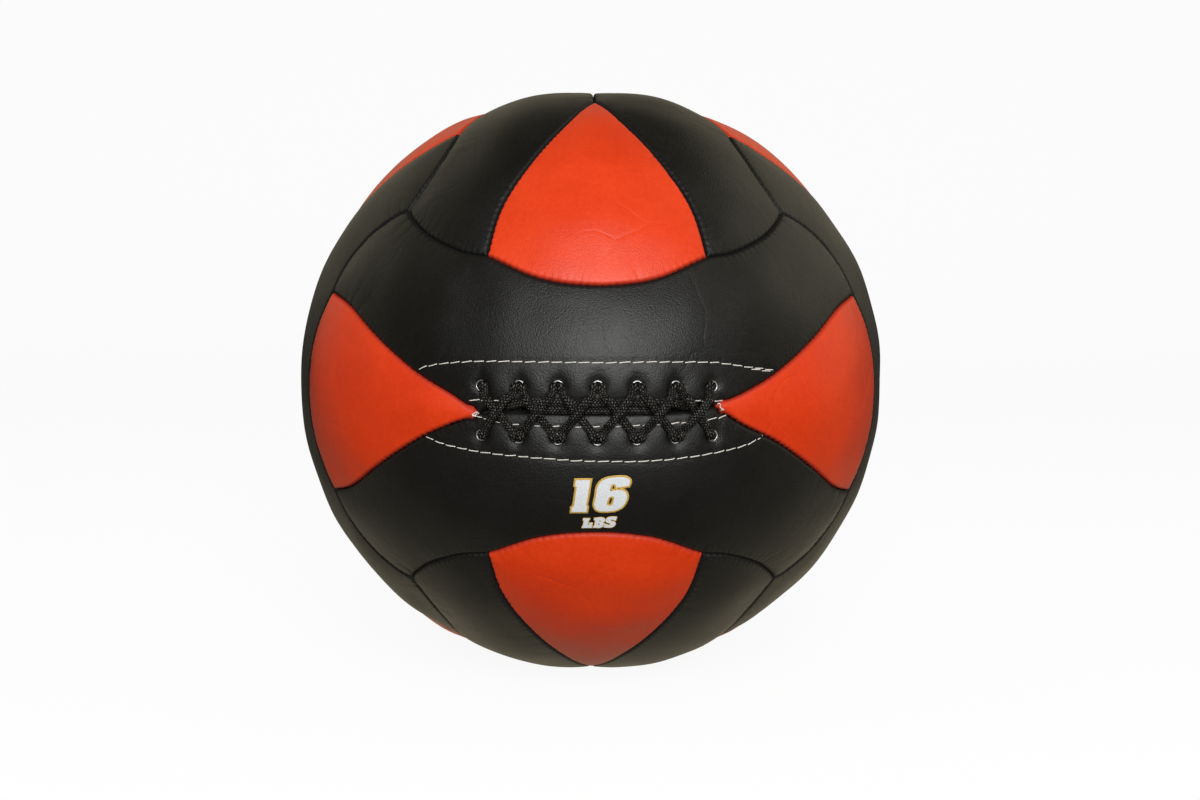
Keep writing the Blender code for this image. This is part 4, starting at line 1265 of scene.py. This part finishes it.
# the weight printed under the mouth: outlines in mm from the middle of the front, with a 1 where they bend
figures = {
    "number": [
        [(-10.7, -34.0), (-3.4, -33.9), (-5.5, -47.8), (-5.0, -48.7), (-5.5, -51.7), (-13.3, -51.7),
         (-13.0, -49.2), (-12.2, -48.7), (-11.7, -47.1), (-10.3, -37.6), (-11.1, -37.0)],
        [(16.8, -34.3, 1), (16.2, -37.1), (9.8, -37.9), (9.5, -36.5, 1), (8.6, -36.0, 1), (7.5, -36.5, 1),
         (7.1, -37.5, 1), (6.5, -39.8), (9.0, -39.5, 1), (12.1, -39.3, 1), (14.4, -40.1, 1),
         (15.6, -42.2, 1), (15.3, -45.1, 1), (13.9, -48.1, 1), (11.4, -50.2, 1), (7.5, -51.3, 1),
         (3.5, -51.4, 1), (0.2, -50.6, 1), (-1.2, -48.3, 1), (-1.0, -45.3, 1), (-0.4, -42.0, 1),
         (0.3, -37.5, 1), (2.0, -34.8, 1), (4.7, -33.2, 1), (8.4, -32.5, 1), (12.3, -32.3, 1),
         (15.3, -32.8, 1)],
        [(7.6, -42.8, 1), (8.7, -43.2, 1), (8.8, -44.6, 1), (8.4, -46.6, 1), (7.7, -47.8, 1),
         (6.5, -48.1, 1), (5.4, -47.6, 1), (5.4, -46.2, 1), (5.9, -44.4, 1), (6.5, -43.2, 1)],
    ],
    "unit": [
        [(-7.0, -55.6), (-3.5, -55.6), (-3.7, -56.6), (-4.1, -56.7), (-4.8, -59.8), (-4.1, -59.8),
         (-3.8, -58.4), (-2.1, -58.4), (-2.5, -61.5), (-7.9, -61.6), (-7.6, -60.5), (-7.2, -60.3),
         (-6.7, -56.8), (-7.2, -56.7)],
        [(-1.2, -55.4), (3.6, -55.3, 1), (4.5, -56.0, 1), (4.4, -57.4, 1), (3.6, -58.2), (4.0, -59.0, 1),
         (3.6, -60.5, 1), (2.4, -61.3, 1), (-1.9, -61.4), (-1.6, -60.4), (-1.1, -60.2), (-0.6, -56.8),
         (-1.2, -56.7)],
        [(1.3, -56.9), (2.2, -56.8), (2.3, -57.6), (1.2, -57.6)],
        [(0.8, -58.9), (1.8, -58.8), (1.8, -59.6), (0.7, -59.7)],
        [(10.8, -54.9), (10.4, -57.0), (9.1, -56.7, 1), (8.0, -56.4, 1), (7.6, -56.8, 1), (8.2, -57.4, 1),
         (9.7, -57.8, 1), (10.3, -58.9, 1), (9.8, -60.3, 1), (8.2, -61.3, 1), (6.2, -61.4, 1),
         (4.1, -61.2), (4.4, -59.0), (5.7, -59.5, 1), (7.2, -59.7, 1), (7.6, -59.2, 1), (6.8, -58.6, 1),
         (5.4, -58.1, 1), (5.0, -56.8, 1), (5.7, -55.5, 1), (7.3, -54.8, 1), (9.1, -54.7, 1)],
    ],
}
printing = {"rims": {"number": 1.0, "unit": 0.32}, "cell": 0.0009, "film": 0.00004, "lift": 0.00010,
            "edgeLift": 0.00004, "block": 0.1, "scale": 0.001}


def makePrint(name, shapes, rim, lift, material):
    curve = bpy.data.curves.new(name, "CURVE")
    curve.dimensions, curve.fill_mode, curve.resolution_u = "2D", "BOTH", 5
    curve.extrude, curve.bevel_depth, curve.bevel_resolution = printing["block"], rim, 0
    for shape in shapes:
        line = curve.splines.new("BEZIER")
        line.use_cyclic_u = True
        line.bezier_points.add(len(shape) - 1)
        for knot, (x, y, *bent) in zip(line.bezier_points, shape):
            knot.co = (x, y, 0)
            knot.handle_left_type = knot.handle_right_type = "AUTO" if bent else "VECTOR"
    holder = newObject(name, curve)
    graph = bpy.context.evaluated_depsgraph_get()
    flat = bpy.data.meshes.new_from_object(holder.evaluated_get(graph), depsgraph=graph)
    bpy.data.objects.remove(holder)
    bpy.data.curves.remove(curve)
    bm = bmesh.new()
    bm.from_mesh(flat)
    bpy.data.meshes.remove(flat)
    bmesh.ops.remove_doubles(bm, verts=bm.verts[:], dist=1e-4)
    bmesh.ops.scale(bm, vec=(printing["scale"],) * 3, verts=bm.verts[:])
    for axis in (0, 1):
        reach = [vert.co[axis] for vert in bm.verts]
        for step in np.arange(min(reach) + printing["cell"], max(reach), printing["cell"]):
            where, normal = Vector((0, 0, 0)), Vector((0, 0, 0))
            where[axis], normal[axis] = step, 1
            bmesh.ops.bisect_plane(bm, geom=bm.verts[:] + bm.edges[:] + bm.faces[:], dist=1e-7,
                                   plane_co=where, plane_no=normal)
    for vert in bm.verts:
        point, normal = onto(lips, aim(overBall(vert.co.x), overBall(vert.co.y)))
        vert.co = middle + point + unit(normal) * (lift + (printing["film"] if vert.co.z > 0 else 0))
    bmesh.ops.recalc_face_normals(bm, faces=bm.faces[:])
    addPiece(name, meshFrom(bm, name, smooth=False), material)


for key, shapes in figures.items():
    makePrint(f"weight_{key}", shapes, 0.0, printing["lift"], "whiteInk")
    makePrint(f"weight_{key}_edge", shapes, printing["rims"][key], printing["edgeLift"], "goldInk")
print("weight printed")

# the pieces inside, with their own cloth, foam and iron
inside = {"foam_layer": "foam", "lining_bag": "canvas", "ballast_bag": "canvas", "neck_tie": "canvas",
          "stuffing_back": "textileScrap", "stuffing_front": "textileScrap", "ballast": "ironShot"}
for name, material in inside.items():
    bpy.data.objects[name].material_slots[0].material = materials[material]

# camera, light and floor
camera = {"away": 4.708 * seamRadius, "up": 5.38, "round": -1.1, "roll": 0.32, "lens": 39.213, "sensor": 36,
          "near": 0.05, "shift": (9.1 / 1200, -20.2 / 1200)}
lights = {"keyUp": 19, "keyRound": 4, "keyAway": 1.9, "keySize": 1.2, "keyPower": 30.5, "world": 0.32}
paper = {
    "wide": 4.6, "front": -0.7, "back": 2.6, "high": 2.7, "bend": 0.9, "bendSteps": 24,
    "glow": 0.92, "colour": 0.12, "rough": 0.9,
    # painted shade and light for reflections only: as mirrored the paper glows warm, with painted shade
    # before the ball, beside it and far behind it, and painted light where it rises
    "mirrored": 0.62, "warm": (1.0, 0.88, 0.60),   # as mirrored it is warmer than the camera sees it,
    "dark": 0.05, "infront": (-0.18, -0.02), "beyond": (0.8, 1.8),  # dark before the ball and far behind it,
    "centre": 0.05, "beside": (0.14, 0.45), "besideLevel": 0.2,     # dimmer beside it,
    "wall": (0.3, 0.9), "wallLevel": 0.88,                          # and light again where it rises
}
room = {"level": 0.05, "colour": (1.0, 0.93, 0.70),  # painted reflections: as mirrored the room is painted dark and warm, with soft cards that glow only in reflections, at degrees right and up
        "cards": [{"at": (106, 30), "inner": 16, "outer": 38, "level": 0.85},
                  {"at": (-128, 28), "inner": 12, "outer": 34, "level": 0.5}]}


def makeCamera():
    data = bpy.data.cameras.new("camera")
    data.lens, data.sensor_width, data.clip_start = camera["lens"], camera["sensor"], camera["near"]
    data.shift_x, data.shift_y = camera["shift"]
    eye = newObject("camera", data)
    out = Vector(aim(camera["round"], camera["up"]))
    eye.location = Vector(middle) + out * camera["away"]
    look = (-out).to_track_quat("-Z", "Y").to_matrix() @ Matrix.Rotation(math.radians(camera["roll"]), 3, "Z")
    eye.rotation_euler = look.to_euler()
    bpy.context.scene.camera = eye


def raysOf(tree):  # the camera's, and those that the object mirrors or bends
    path = node(tree, "LightPath").outputs
    return path["Is Camera Ray"], maths(tree, "MAXIMUM", path["Is Glossy Ray"], path["Is Transmission Ray"])


def makeLight():
    data = bpy.data.lights.new("softbox", "AREA")
    data.shape, data.size, data.energy = "SQUARE", lights["keySize"], lights["keyPower"]
    box = newObject("softbox", data)
    out = Vector(aim(lights["keyRound"], lights["keyUp"]))
    box.location = Vector(middle) + out * lights["keyAway"]
    box.rotation_euler = (-out).to_track_quat("-Z", "Y").to_euler()
    world = bpy.context.scene.world or bpy.data.worlds.new("world")
    bpy.context.scene.world = world
    world.use_nodes = True
    tree = world.node_tree
    tree.nodes.clear()
    level = room["level"]
    # painted reflections: the cards glow only for rays that mirror or bend
    for card in room["cards"]:
        way = {0: node(tree, "TexCoord").outputs["Object"], 1: tuple(aim(*card["at"]))}
        near = node(tree, "VectorMath", way, operation="DOT_PRODUCT").outputs["Value"]
        inner, outer = (math.cos(math.radians(card[edge])) for edge in ("inner", "outer"))
        level = maths(tree, "ADD", ranged(tree, near, outer, inner, 0.0, card["level"]), level)
    white, dim, dark = (node(tree, "Background", {"Color": (*colour, 1), "Strength": strength}).outputs[0]
                        for colour, strength in (((1, 1, 1), 1.0), ((1, 1, 1), lights["world"]),
                                                 (room["colour"], level)))
    seen, bounced = raysOf(tree)
    lit = node(tree, "MixShader", {0: bounced, 1: dim, 2: dark}).outputs[0]
    mix = node(tree, "MixShader", {0: seen, 1: lit, 2: white}).outputs[0]
    tree.links.new(mix, node(tree, "OutputWorld").inputs[0])


def makePaper():
    made, tree, shader = newMaterial("studioWhite", paper["rough"], specular=0.0)
    shader.inputs["Base Color"].default_value = (paper["colour"],) * 3 + (1,)
    spot = node(tree, "SeparateXYZ", {0: node(tree, "TexCoord").outputs["Object"]}).outputs
    # painted shade and light of the paper as mirrored: its glow in reflections is darkened by place
    aside = maths(tree, "ABSOLUTE", maths(tree, "SUBTRACT", spot[0], paper["centre"]))
    lying = product(tree, ranged(tree, aside, *paper["beside"], 1.0, paper["besideLevel"]),
                    ranged(tree, spot[1], *paper["infront"], paper["dark"], 1.0),
                    ranged(tree, spot[1], *paper["beyond"], 1.0, paper["dark"]))
    wall = ranged(tree, spot[2], *paper["wall"], 0.0, paper["wallLevel"])
    seen, bounced = raysOf(tree)
    mirrored = product(tree, bounced, maths(tree, "MAXIMUM", lying, wall), paper["mirrored"])
    glow = maths(tree, "ADD", maths(tree, "MULTIPLY", seen, paper["glow"]), mirrored)
    # painted reflection: as mirrored, the paper's glow is tinted warm
    tree.links.new(toned(tree, seen, paper["warm"], (1, 1, 1)), shader.inputs["Emission Color"])
    tree.links.new(glow, shader.inputs["Emission Strength"])
    return made


def makeStudio():  # white paper, flat under the ball and swept up behind it
    bm = bmesh.new()
    bmesh.ops.create_grid(bm, x_segments=1, y_segments=1, size=0.5)
    deep = paper["back"] - paper["front"]
    bmesh.ops.scale(bm, vec=(paper["wide"], deep, 1), verts=bm.verts[:])
    bmesh.ops.translate(bm, vec=(0, paper["front"] + deep / 2, 0), verts=bm.verts[:])
    back = [e for e in bm.edges if all(v.co.y > paper["front"] + deep / 2 for v in e.verts)]
    bent = bmesh.ops.extrude_edge_only(bm, edges=back)["geom"]
    raised = [v for v in bent if isinstance(v, bmesh.types.BMVert)]
    bmesh.ops.translate(bm, vec=(0, 0, paper["high"]), verts=raised)
    bmesh.ops.bevel(bm, geom=[e for e in back if e.is_valid], offset=paper["bend"], offset_type="OFFSET",
                    affect="EDGES", segments=paper["bendSteps"], profile=0.5, material=-1)
    mesh = meshFrom(bm, "studio")
    mesh.materials.append(makePaper())
    newObject("studio", mesh)


makeCamera()
makeLight()
makeStudio()
bpy.context.scene.view_settings.view_transform = "Standard"
